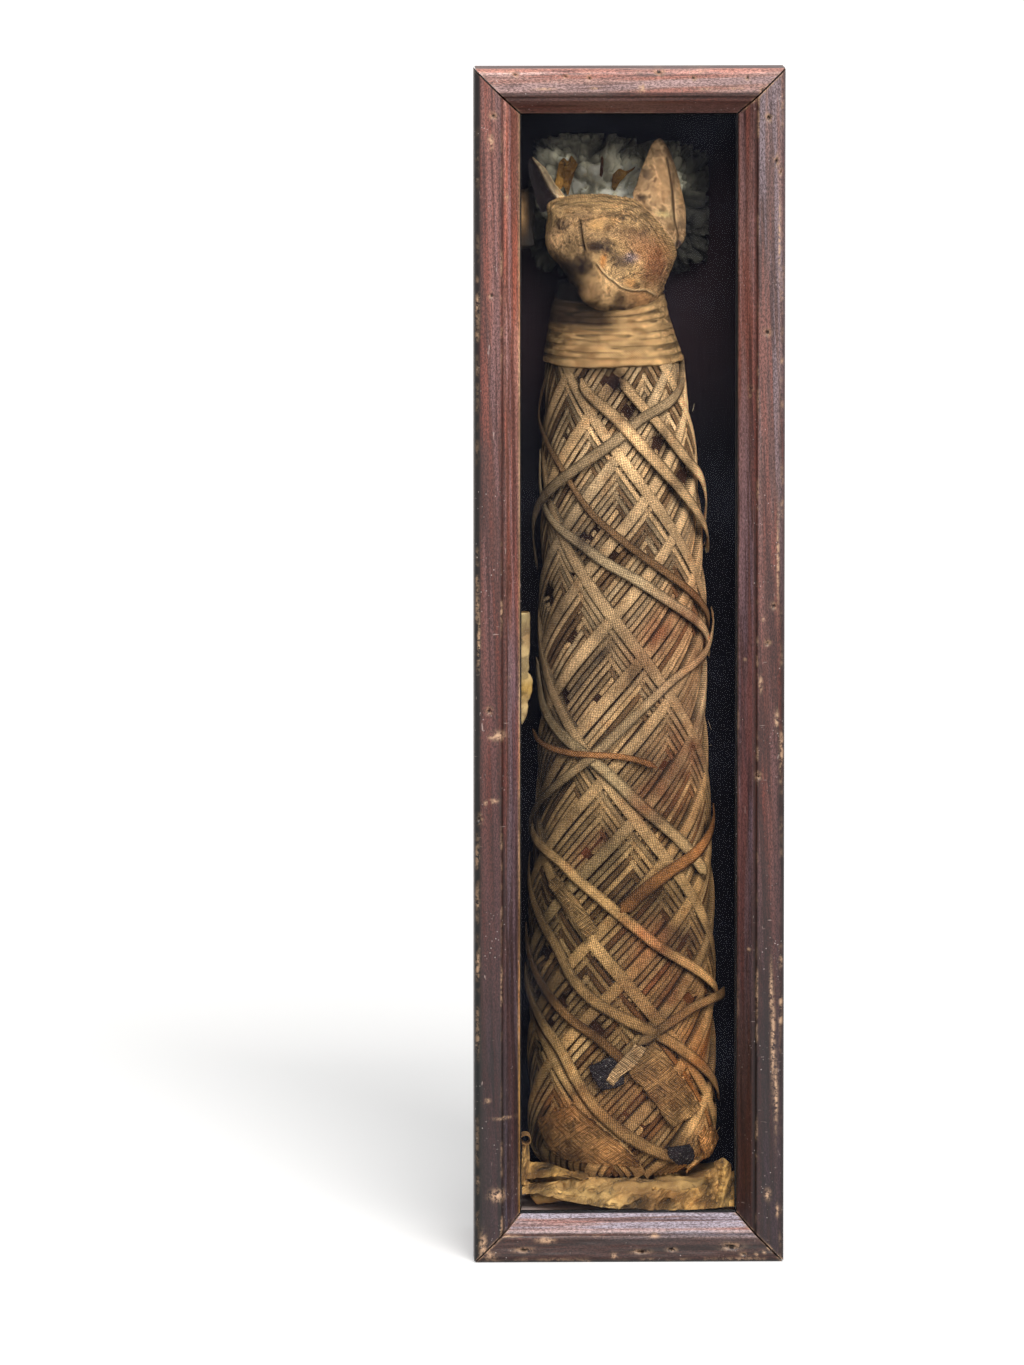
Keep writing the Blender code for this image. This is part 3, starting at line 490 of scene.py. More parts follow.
# Marks read off the photo, in its pixels: place, then breadth and height of the mark
HOLES = (
    (514, 78, 1.7, 1.5), (492.5, 119, 1.8, 1.8), (760, 94, 1.4, 1.4), (766, 121, 1.8, 2.0),
    (564, 80, 1.6, 1.2), (588, 82, 1.5, 1.5), (644, 70, 2.0, 1.0), (657, 76, 2.4, 1.6),
    (691, 82, 1.6, 1.3), (696, 70, 5.0, 1.2), (745, 82, 1.2, 1.2), (774, 164, 1.3, 2.8),
    (491, 297, 1.5, 1.5), (765, 334, 1.8, 1.8), (749, 390, 1.3, 1.3), (772, 606, 1.5, 1.5),
    (766, 643, 1.4, 1.4), (757, 776, 1.5, 1.5), (488, 710, 1.5, 1.8), (478.6, 818, 1.3, 2.0),
    (523, 1250, 4.5, 1.2), (640, 1252, 4.2, 1.0), (731, 1247, 4.5, 1.8), (671, 1250, 2.4, 0.9),
    (743, 1255, 1.6, 1.0), (778, 175, 1.0, 1.6), (585, 1262, 2.0, 0.8),
)
SCUFFS = (
    (509, 677, 1.4, 1.4), (762, 619, 1.2, 1.6), (744, 661, 1.0, 1.0), (748, 950, 1.2, 1.2),
    (756, 1255, 1.1, 1.1), (763.6, 1253, 1.1, 1.1), (767, 1195, 2.0, 3.5), (776.6, 1211, 1.0, 4.0),
    (491.5, 736, 2.8, 1.4), (493, 800, 3.0, 1.4), (485, 802, 1.4, 1.2), (496, 1195, 5.0, 4.0),
    (759, 684, 1.2, 5.0), (775, 719, 1.4, 6.0), (613.5, 1256, 2.4, 1.8), (772, 1040, 1.4, 30.0),
    (775, 1095, 1.3, 22.0), (770, 990, 1.0, 18.0), (482, 1246, 2.6, 8.0), (488, 1255, 4.5, 2.2),
    (504, 1118, 7.0, 0.8), (490, 145, 2.0, 5.0), (506, 200, 1.4, 3.0), (748, 398, 1.1, 1.1),
    (545, 1240, 6.0, 2.0), (653, 1236, 4.0, 1.5), (594, 92, 3.0, 1.2), (640, 92, 2.2, 3.0),
    (705, 93, 6.0, 0.7), (545, 92.5, 8.0, 0.7), (776, 560, 0.8, 30.0), (777, 240, 0.8, 26.0),
    (733, 92.5, 5.0, 0.7), (478, 640, 0.9, 18.0), (497, 735, 5.0, 3.0), (486, 1100, 2.2, 1.2),
)


def moulding():
    """The moulding's section from the wall side over the face to the rebate: (in from the edge, depth)."""
    rows = [(0.0, FRAME_BACK - FRONT), (0.0, 0.012), (0.0, 0.006), (0.0, 0.004)]
    rows += [(ARRIS * (1 - math.cos(a)), ARRIS * (1 - math.sin(a))) for a in np.linspace(0, math.pi / 2, 9)]
    rows += [(x, 0.0) for x in np.linspace(ARRIS, FLAT_FACE - 0.3 * MM, 18)[1:]]
    rows += [(FLAT_FACE, 0.15 * MM), (FLAT_FACE + 0.3 * MM, 0.9 * MM)]
    rows += [(FLAT_FACE + 0.8 * MM, QUIRK_DEPTH * 0.8), (SLOPE_START - 0.5 * MM, QUIRK_DEPTH * 0.95)]
    rows += [(SLOPE_START, QUIRK_DEPTH)]
    for t in np.linspace(0, 1, 11)[1:]:
        inward = SLOPE_START + (FACE_WIDE - 0.9 * MM - SLOPE_START) * t
        sag = 0.35 * MM * math.sin(math.pi * t)
        rows.append((inward, QUIRK_DEPTH + (SLOPE_DEPTH - 0.8 * MM - QUIRK_DEPTH) * t + sag))
    rows += [(FACE_WIDE - 0.3 * MM, SLOPE_DEPTH - 0.3 * MM), (FACE_WIDE, SLOPE_DEPTH + 0.3 * MM)]
    rows += [(FACE_WIDE, SLOPE_DEPTH + LIP), (FACE_WIDE - REBATE, SLOPE_DEPTH + LIP)]
    rows += [(FACE_WIDE - REBATE, FRAME_BACK - FRONT)]
    return np.array(rows)


# Tones of the old varnish, from near black to wood worn bare; the two darkest are painted shade, not varnish
VARNISH = {
    "deep_painted_shade": (18, 7, 7), "painted_shade": (42, 23, 22), "umber": (62, 43, 41), "walnut": (91, 63, 59),
    "oxblood": (86, 50, 44), "brick": (104, 60, 54), "clay": (118, 75, 68), "dusk": (75, 48, 53),
    "slate": (83, 68, 74), "heather": (101, 78, 83), "plum": (107, 85, 92), "mauve": (110, 81, 78),
    "rosy": (141, 97, 90), "blush": (156, 109, 98), "dusty": (136, 110, 108), "faded": (182, 147, 140),
    "pearl": (174, 152, 153), "palest_rose": (230, 194, 188), "bare": (185, 157, 126), "straw": (208, 162, 88),
}
# Across each member from its outer edge: millimetres in, how hazy, then its varnish,
# on a stile at the top, middle and foot. The tones hold painted light and shade: the near-black outer
# edge of the left stile, the dark inner edge of the right one and the underside of the bottom rail
# are painted shade, and the top rail's palest tones are partly painted light
LAYERS = {
    "left": (
        (0.0, 0.0, "deep_painted_shade", "deep_painted_shade", "deep_painted_shade"), (2.6, 0.0, "painted_shade", "deep_painted_shade", "deep_painted_shade"),
        (3.4, 0.2, "clay", "oxblood", "umber"), (5.0, 0.6, "rosy", "brick", "dusk"),
        (11.5, 0.7, "rosy", "brick", "dusk"), (13.2, 0.3, "clay", "oxblood", "umber"),
        (14.8, 0.3, "blush", "oxblood", "dusk"), (15.6, 1.0, "blush", "mauve", "slate"),
        (17.8, 0.9, "rosy", "mauve", "slate"), (18.8, 0.1, "blush", "plum", "slate"),
        (21.4, 0.1, "blush", "plum", "slate"), (21.8, 0.0, "bare", "bare", "straw"),
        (22.4, 0.0, "bare", "bare", "straw")),
    "right": (
        (0.0, 0.5, "slate", "umber", "umber"), (3.0, 0.7, "dusty", "oxblood", "dusk"),
        (5.0, 0.8, "dusty", "clay", "dusk"), (12.6, 0.8, "dusty", "clay", "dusk"),
        (13.2, 0.2, "oxblood", "oxblood", "painted_shade"), (15.0, 0.2, "oxblood", "oxblood", "painted_shade"),
        (15.6, 0.6, "mauve", "heather", "umber"), (21.6, 0.2, "mauve", "heather", "umber"),
        (22.4, 0.0, "painted_shade", "painted_shade", "painted_shade")),
    "top": (
        (0.0, 0.5, "palest_rose"), (2.0, 0.5, "palest_rose"), (2.9, 0.5, "faded"), (10.9, 0.4, "faded"),
        (11.6, 0.1, "walnut"), (22.4, 0.1, "walnut")),
    "bottom": (
        (0.0, 0.2, "deep_painted_shade"), (1.0, 0.2, "painted_shade"), (2.0, 0.3, "walnut"), (11.6, 0.3, "walnut"),
        (12.2, 0.6, "faded"), (14.2, 0.9, "pearl"), (22.4, 1.0, "pearl")),
}
# How light the flat and the slope of each member are painted, to match how dark each is seen lit: partly
# painted light and shade, with the bottom rail's flat darkest
SLOPE_GAIN = {"left": 0.80, "right": 0.99, "top": 0.66, "bottom": 0.64}
FLAT_GAIN = {"left": 0.50, "right": 0.50, "top": 0.48, "bottom": 0.26}
# Flat and slope: the stiles are darker towards the foot, partly painted shade and partly the wood's own tone
FOOT_SHADE_GAIN = (0.50, 0.62)


def frame_tones(inward, z, horizontal, sign):
    """Haze and tone over one member: each face as dark as it is seen lit, which holds painted light and
    shade, and the stiles darker to the foot, partly as painted shade.
    """
    name = ("top" if sign > 0 else "bottom") if horizontal else ("right" if sign > 0 else "left")
    table = LAYERS[name]
    places = np.array([row[0] for row in table])
    haze = np.interp(inward / MM, places, [row[1] for row in table])
    tones = np.array([[rgb(*VARNISH[tone]) for tone in row[2:]] for row in table])
    columns = [np.stack([np.interp(inward / MM, places, tones[:, k, c]) for c in range(3)], -1)
               for k in range(tones.shape[1])]
    inner = np.clip((inward / MM - FLAT_FACE / MM - 1) / 1.2, 0, 1)[..., None]
    if horizontal:
        tone = columns[0]
    else:
        rise = np.clip(z / HEIGHT, 0, 1)[..., None]
        upper = np.clip((rise - 0.47) / 0.32, 0, 1)
        lower = np.clip((rise - 0.18) / 0.29, 0, 1)
        foot = FOOT_SHADE_GAIN[0] * (1 - inner) + FOOT_SHADE_GAIN[1] * inner
        tone = columns[2] * foot * (1 - lower) + columns[1] * lower * (1 - upper) + columns[0] * lower * upper
    return haze, tone * (FLAT_GAIN[name] * (1 - inner) + SLOPE_GAIN[name] * inner)


def frame_member(node, finish, horizontal, sign):
    """One mitred member: a fine skin on the moulding, with dents, holes and worn edges."""
    section = moulding()
    length = 2 * HALF_WIDE if horizontal else HEIGHT
    steps = int(length / (0.8 * MM))
    t = np.linspace(0, 1, steps)[:, None]
    inward = np.broadcast_to(section[:, 0], (steps, len(section)))
    depth = np.broadcast_to(section[:, 1], (steps, len(section))).copy()
    low = inward + CORNER_GAP
    if horizontal:
        x = -HALF_WIDE + low + (length - 2 * low) * t
        z = HEIGHT - inward if sign > 0 else inward
    else:
        z = low + (length - 2 * low) * t
        x = sign * (HALF_WIDE - inward)
    z = np.broadcast_to(z, x.shape)
    x = np.broadcast_to(x, z.shape)
    points = np.stack([x, FRONT + depth, z], -1)
    outer = (depth < 0.6 * SLOPE_DEPTH) & (inward < SLOPE_START)
    hole = np.zeros(x.shape)
    for px, py, wide, high in HOLES:
        near = bump_at(x, z, px, py, wide * 1.25, high * 1.25)
        hole = np.maximum(hole, np.clip(near * 2.6 - 1.0, 0, 1))
        depth += np.where(outer, 1.6 * MM * near**1.5, 0)
    wear = np.zeros(x.shape)
    for px, py, wide, high in SCUFFS:
        wear = np.maximum(wear, bump_at(x, z, px, py, wide * 1.3, high * 1.3))
    for px, py, wide, high in HOLES:
        wear = np.maximum(wear, 0.75 * bump_at(x, z, px, py, wide * 2.0, high * 2.0))
    arris_wear = hump(inward, ARRIS * 0.5, 0.9 * MM) * (depth < 2 * MM)
    inner_wear = hump(inward, FLAT_FACE, 0.45 * MM)
    if horizontal:
        inner_wear = inner_wear * (0.3 if sign > 0 else 1.15)
    lip_wear = hump(inward, FACE_WIDE - 0.3 * MM, 0.7 * MM) * (1.5 if sign < 0 and not horizontal else 0.7)
    rub = np.clip(noise(points, 26 * MM, 5, 3) * 0.9 + 0.25, 0, 1)
    fret = np.clip(noise(points, 6 * MM, 6, 2) * 1.3 + 0.35, 0, 1)
    wear = np.maximum(wear, (0.75 * arris_wear + 0.85 * inner_wear + 0.6 * lip_wear) * rub * fret)
    if horizontal:
        mitre = np.minimum(x + HALF_WIDE - low, HALF_WIDE - low - x)
        grain = points * [0.15, 1, 1]
    else:
        mitre = np.minimum(z - low, HEIGHT - low - z)
        grain = points * [1, 1, 0.15]
    open_joint = 0.9 if (sign < 0) == horizontal else 0.5
    wear = np.maximum(wear, open_joint * hump(mitre, 0, 0.6 * MM) * np.clip(fret + 0.25, 0, 1))
    chip = np.clip(noise(points, 5 * MM, 9, 2) - 0.55, 0, 1) * (inner_wear + arris_wear)
    ripple = np.where(depth < SLOPE_DEPTH, 0.10 * MM * noise(grain, 1.6 * MM, 3, 2), 0)
    depth = depth + ripple + 1.2 * MM * chip
    points[..., 1] = FRONT + depth
    edge_dent = 0.35 * MM * np.clip(noise(points, 9 * MM, 12, 2), 0, 1) * arris_wear
    if horizontal:
        points[..., 2] -= sign * edge_dent
    else:
        points[..., 0] -= sign * edge_dent
    count = len(section)
    faces = grid_faces(steps, count, closed=True)
    faces.append(list(range(count))[::-1])
    faces.append([(steps - 1) * count + j for j in range(count)])
    if (sign > 0) != horizontal:
        faces = [face[::-1] for face in faces]
    haze, tone = frame_tones(inward, z, horizontal, sign)
    outside = np.clip((depth - ARRIS) / (1.5 * MM), 0, 1) * (inward < 0.1 * MM)
    tone = blend(tone, rgb(76, 48, 40), outside)
    obj = piece(node + "_wood", points, faces, finish, slot="frame_wood", replaces=(node,), haze=haze.ravel(),
                tone=tone.reshape(-1, 3)[:, None], wear=np.clip(wear, 0, 1).ravel(), hole=hole.ravel())
    obj.data.set_sharp_from_angle(angle=math.radians(50))


def dress_frame():
    """The four members, and the two woods that they and the beads are made of."""
    upright = wood_material("frame_wood_upright", 2)
    level = wood_material("frame_wood_level", 0)
    frame_member("frame_left_stile", upright, False, -1)
    frame_member("frame_right_stile", upright, False, 1)
    frame_member("frame_top_rail", level, True, 1)
    frame_member("frame_bottom_rail", level, True, -1)
    return upright, level


def finish_node(node, material):
    """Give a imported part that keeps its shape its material."""
    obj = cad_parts[node]
    obj.data.materials.clear()
    obj.data.materials.append(material)


# The bundle's skin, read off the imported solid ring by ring

def bundle_rings():
    """Height, middle and half width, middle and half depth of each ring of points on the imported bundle."""
    points = np.array([vert.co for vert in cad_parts["body_bundle"].data.vertices])
    rows = []
    for z in np.unique(points[:, 2].round(5)):
        ring = points[np.abs(points[:, 2] - z) < 2e-5]
        if len(ring) >= 36:
            low = ring.min(0)
            high = ring.max(0)
            rows.append((z, (low[0] + high[0]) / 2, (high[0] - low[0]) / 2,
                         (low[1] + high[1]) / 2, (high[1] - low[1]) / 2))
    return np.array(rows)


RINGS = bundle_rings()
FOOT = RINGS[0, 0]
TALL = RINGS[-1, 0] - FOOT
WIDEST = RINGS[:, 2].max()
ROUND = 0.5 * (RINGS[:, 2].max() + RINGS[:, 4].max()) * 0.94 + 0.8 * MM   # mean radius of the wrappings
GIRTH = 2 * math.pi * ROUND


def ring_value(column, z):
    """One column of the ring table at heights z, along a smooth curve."""
    places = RINGS[:, 0]
    values = RINGS[:, column]
    slopes = np.gradient(values, places)
    z = np.clip(z, places[0], places[-1])
    k = np.clip(np.searchsorted(places, z, "right") - 1, 0, len(places) - 2)
    span = places[k + 1] - places[k]
    t = (z - places[k]) / span
    return ((2 * t**3 - 3 * t**2 + 1) * values[k] + (t**3 - 2 * t**2 + t) * span * slopes[k]
            + (3 * t**2 - 2 * t**3) * values[k + 1] + (t**3 - t**2) * span * slopes[k + 1])


def on_bundle(run, rise, lift):
    """Points over the bundle's skin: run round it from the front, rise from its foot, lift off it."""
    z = FOOT + np.asarray(rise, float)
    angle = np.asarray(run, float) / ROUND
    x = ring_value(1, z) + (ring_value(2, z) + lift) * np.sin(angle)
    y = ring_value(3, z) - (ring_value(4, z) + lift) * np.cos(angle)
    return np.stack(np.broadcast_arrays(x, y, z), -1)


# Linen tints, as the photo shows them

TAN = np.array(rgb(222, 180, 129))
GREY = np.array(rgb(190, 166, 130))
BROWN = np.array(rgb(142, 92, 50))
RUST = np.array(rgb(168, 98, 42))
DARK = np.array(rgb(34, 21, 20))
PALE = np.array(rgb(230, 202, 156))
WINE = np.array(rgb(116, 64, 38))
# Stained and pale places read off the photo, with painted shadows among them: the tall dark ones along
# the left flank, the dark ones at the torn holes near the top and the two dark ones under the long strip
# near row 940 are painted shade. Pixel, reach in pixels, turn, tint, strength
STAINS_AND_SHADOWS = (
    (664, 632, 42, 26, 40, WINE, 0.75), (628, 680, 26, 12, 40, DARK, 0.55),
    (664, 775, 40, 24, 45, DARK, 0.45), (690, 760, 34, 60, 0, WINE, 0.65),
    (580, 540, 30, 16, -40, DARK, 0.55), (668, 440, 20, 22, -50, DARK, 0.5),
    (612, 387, 9, 14, -50, DARK, 0.95), (628, 413, 8, 9, -50, DARK, 0.85),
    (655, 443, 10, 9, -50, DARK, 0.6), (683, 477, 9, 22, -30, DARK, 0.6),
    (600, 655, 26, 8, 45, DARK, 0.5), (575, 690, 20, 8, 45, DARK, 0.55),
    (600, 840, 16, 6, 45, DARK, 0.6), (585, 850, 22, 7, 45, WINE, 0.6), (650, 940, 30, 24, 0, WINE, 0.6),
    (672, 950, 18, 18, -30, DARK, 0.45), (676, 934, 22, 9, -35, DARK, 0.55),
    (660, 990, 40, 30, 0, WINE, 0.5), (592, 1022, 22, 20, 0, DARK, 0.6),
    (604, 1072, 20, 12, 20, DARK, 0.9), (640, 1100, 30, 36, 0, WINE, 0.5),
    (637, 1118, 20, 14, 30, DARK, 0.6), (684, 1152, 17, 14, 0, DARK, 0.8),
    (575, 1092, 22, 8, 20, DARK, 0.5), (700, 1060, 30, 40, 0, RUST, 0.6),
    (560, 715, 18, 30, 0, DARK, 0.4), (548, 640, 14, 60, 0, DARK, 0.45),
    (535, 900, 10, 120, 0, DARK, 0.4), (540, 480, 10, 60, 0, DARK, 0.5),
    (700, 640, 16, 90, 0, WINE, 0.5), (650, 800, 30, 20, 45, WINE, 0.5),
    (655, 820, 24, 8, 45, DARK, 0.5), (570, 1110, 40, 20, 0, BROWN, 0.6),
    (560, 600, 20, 30, 0, DARK, 0.35),
)


# How light the linen is painted, partly its own tone and partly painted light and shade: share of the height,
# then gains at the left, in the middle and at the right
BODY_TONE_AND_LIGHT = (
    (0.00, 1.5, 2.0, 4.0), (0.07, 1.7, 1.2, 1.7), (0.13, 1.6, 1.1, 1.1), (0.17, 1.2, 0.9, 1.0),
    (0.22, 0.8, 0.55, 0.6), (0.34, 0.8, 0.55, 0.7), (0.43, 0.4, 0.75, 0.7), (0.52, 0.7, 0.6, 1.0),
    (0.62, 0.7, 0.75, 1.2), (0.72, 0.5, 0.5, 0.9), (0.82, 0.8, 0.6, 0.85), (0.87, 0.45, 1.4, 1.1),
    (0.905, 0.35, 0.5, 1.1), (0.96, 0.3, 0.35, 1.3),
)


def body_tone_and_light(share, across):
    """The gain, partly painted light and shade, at a share of the height and a place from the left flank (-1)
    to the right one (1).
    """
    heights = [row[0] for row in BODY_TONE_AND_LIGHT]
    left, middle, right = (np.interp(share, heights, [row[k] for row in BODY_TONE_AND_LIGHT]) for k in (1, 2, 3))
    side = np.clip(across / 0.8, -1, 1)
    return middle * (1 - np.abs(side)) + np.where(side < 0, left, right) * np.abs(side)


def linen_tint(base, points, seed=0):
    """A strip's tint over its points: its own colour, warmed low and to the right, darker to the foot and on
    the left flank and lighter on the right flank as painted shade and light, with the stains and painted
    shadows.
    """
    x = points[..., 0]
    z = points[..., 2]
    share = (z - FOOT) / TALL
    warm = 0.30 + 0.55 * (x / WIDEST) + 1.3 * (0.34 - share) + 0.35 * noise(points, 45 * MM, 41, 2)
    tint = blend(base, base * 0.45 + RUST * 0.42, 0.72 * np.clip(warm, 0, 1))
    # Darker towards the foot, partly painted shade and partly darker staining, with random patches
    low = 0.34 + 0.84 * share + 0.24 * noise(points, 20 * MM, 43, 3) + 0.12 * noise(points, 7 * MM, 44, 2)
    low = np.clip(low, 0.20, 1.45) * body_tone_and_light(share, (x - ring_value(1, z)) / ring_value(2, z))
    # Painted shade on the left flank and painted light on the right flank
    painted_flank_light = 1 - 0.60 * np.clip((-x / WIDEST - 0.60) / 0.35, 0, 1) ** 1.2 * np.clip(1.7 - 1.6 * share, 0, 1)
    painted_flank_light = painted_flank_light + 1.6 * np.clip((x / WIDEST - 0.55) / 0.45, 0, 1) ** 1.3
    golden = np.clip((0.58 - share) / 0.25, 0, 1)[..., None]
    tint = tint * (low * painted_flank_light)[..., None] * (1 - golden * np.array([0.0, 0.05, 0.24]))
    front = np.clip((RINGS[:, 3].mean() - points[..., 1]) / (20 * MM), 0, 1)
    for px, py, wide, high, turn, colour, strength in STAINS_AND_SHADOWS:
        near = bump_at(x, z, px, py, wide, high, turn, BEHIND) * strength * front
        near = near * np.clip(1.0 + 0.5 * noise(points, 5 * MM, 77 + seed, 2), 0.2, 1.4)
        tint = blend(tint, colour, np.clip(near, 0, 0.92))
    return tint


# Wound strips

def ribbon(run, rise, lift, width, skirt, bow=0.12 * MM, closed=False, thick=0.4 * MM):
    """A flat strip's skin along a route, nine points across: its edges turned down, or a closed section."""
    along = np.stack([np.gradient(run), np.gradient(rise)], -1)
    along /= np.linalg.norm(along, axis=1)[:, None]
    side = np.stack([-along[:, 1], along[:, 0]], -1) * np.reshape(width / 2, (-1, 1))
    if closed:
        over = [(-1, 0), (-0.5, 0.7 * bow), (0, bow), (0.5, 0.7 * bow), (1, 0)]
        under = [(0.96, -thick), (0.3, 0.4 * bow - thick), (-0.3, 0.4 * bow - thick), (-0.96, -thick)]
        offsets = over + under
    else:
        left = [(-1, -skirt[0]), (-0.97, -bow), (-0.84, 0.1 * bow), (-0.45, 0.8 * bow)]
        right = [(0.45, 0.8 * bow), (0.84, 0.1 * bow), (0.97, -bow), (1, -skirt[1])]
        offsets = left + [(0, bow)] + right
    columns = [on_bundle(run + side[:, 0] * across, rise + side[:, 1] * across, lift + up)
               for across, up in offsets]
    return np.stack(columns, 1), np.array([across for across, _ in offsets])


def weave_places(at, across, width):
    """Where each point lies in the strip's own weave: along it and across it, in metres."""
    rows = np.broadcast_to(at[:, None], (len(at), len(across)))
    cross = across[None, :] * np.broadcast_to(np.asarray(width), at.shape)[:, None] / 2
    return np.stack([rows, cross, rows * 0], -1)


LEFT_STARTS = 8                 # families of strips that run down to the left
RIGHT_STARTS = 4
LEFT_SLOPE = 0.812
RIGHT_SLOPE = 0.705
BAND = 6.2 * MM                 # the outer strip of each lozenge
NEST = 2.8 * MM                 # the part of each nested strip that shows
NESTED_LEFT = 6
NESTED_RIGHT = 5
SLIT = 0.46 * MM                # dark gap between neighbours
STEP = 0.48 * MM                # one nested strip below the next
LOWEST = 0.7 * MM
APEX_RUN = -1.0 * MM            # where the tip of the lozenge under the throat lies
APEX_RISE = 0.854
LOW_END = 0.0
HIGH_END = 0.947
THROAT = 425.5 * MM             # from here up the neck's turns shade the strips
NECK_START = 428 * MM           # from here up the core is drawn in under the neck's turns


# Where nested strips have broken away and the dark inside shows: pixel, reach across and up, turn
TORN = (
    (612, 385, 12, 9, 40), (628, 412, 12, 7, 40), (655, 441, 10, 8, 40), (667, 456, 8, 6, 40),
    (684, 477, 9, 18, -30), (566, 440, 7, 5, -40), (588, 536, 16, 5, 40), (575, 572, 12, 4, 40),
    (610, 556, 10, 4, 40), (560, 700, 10, 14, 0), (632, 678, 16, 6, 40), (668, 770, 16, 5, -40),
    (600, 702, 12, 4, -40), (590, 858, 22, 5, -40), (555, 905, 8, 16, -20), (545, 960, 7, 14, -20),
    (655, 946, 18, 6, -35), (592, 1030, 14, 9, 30), (560, 1005, 8, 14, -30), (603, 1072, 18, 9, -20),
    (636, 1122, 18, 7, -30), (545, 1040, 7, 20, -20), (690, 1000, 10, 12, 0), (548, 600, 6, 16, 0),
    (573, 640, 5, 12, -30),
)


# Where the outer bands are torn through too
THROUGH = ((611, 383, 14, 9, 45), (629, 411, 9, 7, 45), (658, 444, 8, 9, -30), (685, 480, 8, 11, -30))


def torn_share(points, places):
    """How far the strips at these points are broken away, from 0 to 1."""
    front = np.clip((RINGS[:, 3].mean() - points[..., 1]) / (14 * MM), 0, 1)
    share = np.zeros(points.shape[:-1])
    for px, py, wide, high, turn in places:
        near = bump_at(points[..., 0], points[..., 2], px, py, wide, high, turn, BEHIND)
        share = np.maximum(share, near)
    return share * front * (1 + 0.35 * noise(points, 5 * MM, 64, 2))


def loose_path(route):
    """A loose strip's smooth route over the bundle: run, rise and extra lift, and the way walked."""
    rows = [(math.radians(degrees) * ROUND, share * TALL, extra * MM) for degrees, share, extra in route]
    return curve_through(rows, 1.1 * MM)


def covering_lines():
    """The lines that lie over the wound strips and cast painted shadow on them, each with its half width."""
    lines = []
    for _, wide, _, route in LOOSE.values():
        path, _ = loose_path(route)
        lines.append((on_bundle(path[:, 0], path[:, 1], LATTICE_TOP), wide * MM / 2))
    for _, _, _, edge, _ in TORN_CLOTHS.values():
        line = skin_line(edge, 60)
        lines.append((on_bundle(line[:, 0], line[:, 1], LATTICE_TOP), 1.5 * MM))
    return lines


def strip_shade(points):
    """Painted shadow: how dim the cloth is beside the lines over it, more so below them and to their left."""
    rows = 40                        # so many at a time, which keeps the memory low
    shade = np.ones(points.shape[:-1])
    for path, half in COVERED:
        path = path[::2]
        for start in range(0, len(points), rows):
            block = points[start:start + rows]
            gap = block[:, :, None] - path
            away = np.linalg.norm(gap, axis=-1)
            k = away.argmin(-1)
            least = np.take_along_axis(away, k[..., None], -1)[..., 0]
            toward = np.take_along_axis(gap, k[..., None, None], 2)[:, :, 0]
            lower = np.clip(0.45 + (-0.5 * toward[..., 0] - 0.8 * toward[..., 2]) / (2.5 * MM), 0.1, 1)
            dim = 0.88 * lower * hump(np.maximum(least - half, 0), 0, 1.3 * MM)
            shade[start:start + rows] = np.minimum(shade[start:start + rows], 1 - dim)
    return shade


def wound_strip(pile, leftward, family, k):
    """One strip of a family: number 0 is the band that edges each lozenge, and the others nest below it."""
    starts = LEFT_STARTS if leftward else RIGHT_STARTS
    slope = -LEFT_SLOPE if leftward else RIGHT_SLOPE
    secant = math.hypot(1, slope)
    inner = -math.copysign(1, slope)     # which way round the bundle the nested strips step
    seed = family * 10 + k + (500 if leftward else 0)
    rng = np.random.default_rng(seed)
    rise = np.arange(LOW_END * TALL, HIGH_END * TALL, 1.5 * MM)[::-1]
    fall = rise[0] - rise
    if k == 0:
        width = BAND - SLIT
        centre = BAND / 2
    else:
        width = NEST * rng.uniform(0.86, 0.97)
        centre = BAND + NEST * (k - 0.5) + SLIT / 2
    centre = centre + rng.normal(0, 0.12 * MM)
    drift = along_noise(fall, 42 * MM, seed, 2) * 0.28 * MM + along_noise(fall, 9 * MM, seed + 3) * 0.07 * MM
    run = family * GIRTH / starts + APEX_RUN + slope * (APEX_RISE * TALL - rise)
    run = run + inner * (centre + drift) * secant
    uneven = 0.07 * along_noise(fall, 26 * MM, seed + 5, 2) + 0.03 * along_noise(fall, 3 * MM, seed + 6)
    breadth = width * (1 + uneven)
    level = LOWEST + (NESTED_LEFT - k) * STEP + (0.0 if leftward else STEP / 2)
    lift = level + 0.09 * MM * along_noise(fall, 14 * MM, seed + 9, 2)
    deep = lift.mean() - 0.1 * MM if k == 0 else 1.0 * MM
    bare = torn_share(on_bundle(run, rise, lift), TORN + THROUGH if k else THROUGH)
    lift = lift - 4.5 * MM * np.clip((bare - 0.5) * 3, 0, 1)
    bow = 0.15 * MM if k == 0 else 0.18 * MM
    points, across = ribbon(run, rise, lift, breadth, (deep, 1.1 * MM) if leftward else (1.1 * MM, deep), bow)
    mixed = rng.uniform(0.0, 0.6)
    base = TAN * (1 - mixed) + GREY * mixed
    base = base * (rng.uniform(0.58, 1.28) if k else 1.16)
    if rng.random() < 0.20 and k:
        base = base * 0.25 + BROWN * 0.30
    # Painted shade: near black at the strip's edges, in the gaps between neighbours, and on a nested strip
    # darker along the side that lies under its higher neighbour
    edge = np.interp(np.abs(across), (0, 0.45, 0.84, 0.97, 1.0), (1.12, 1.10, 0.98, 0.42, 0.05))
    if k:
        under = across if not leftward else -across
        edge = edge * np.interp(under, (-1, -0.2, 0.45, 0.84, 1), (1.10, 1.08, 0.94, 0.55, 0.4))
    patchy = np.clip(1 + 0.34 * along_noise(fall, 13 * MM, seed + 12, 3), 0.45, 1.45)[:, None]
    neck_shade = 1 - 0.45 * np.clip((points[..., 2] - THROAT) / (6 * MM), 0, 1)
    tint = linen_tint(base, points, 1) * (edge * patchy * strip_shade(points) * neck_shade)[..., None]
    pile.add(points, tint=tint, weave=weave_places(fall * secant + seed, across, breadth))


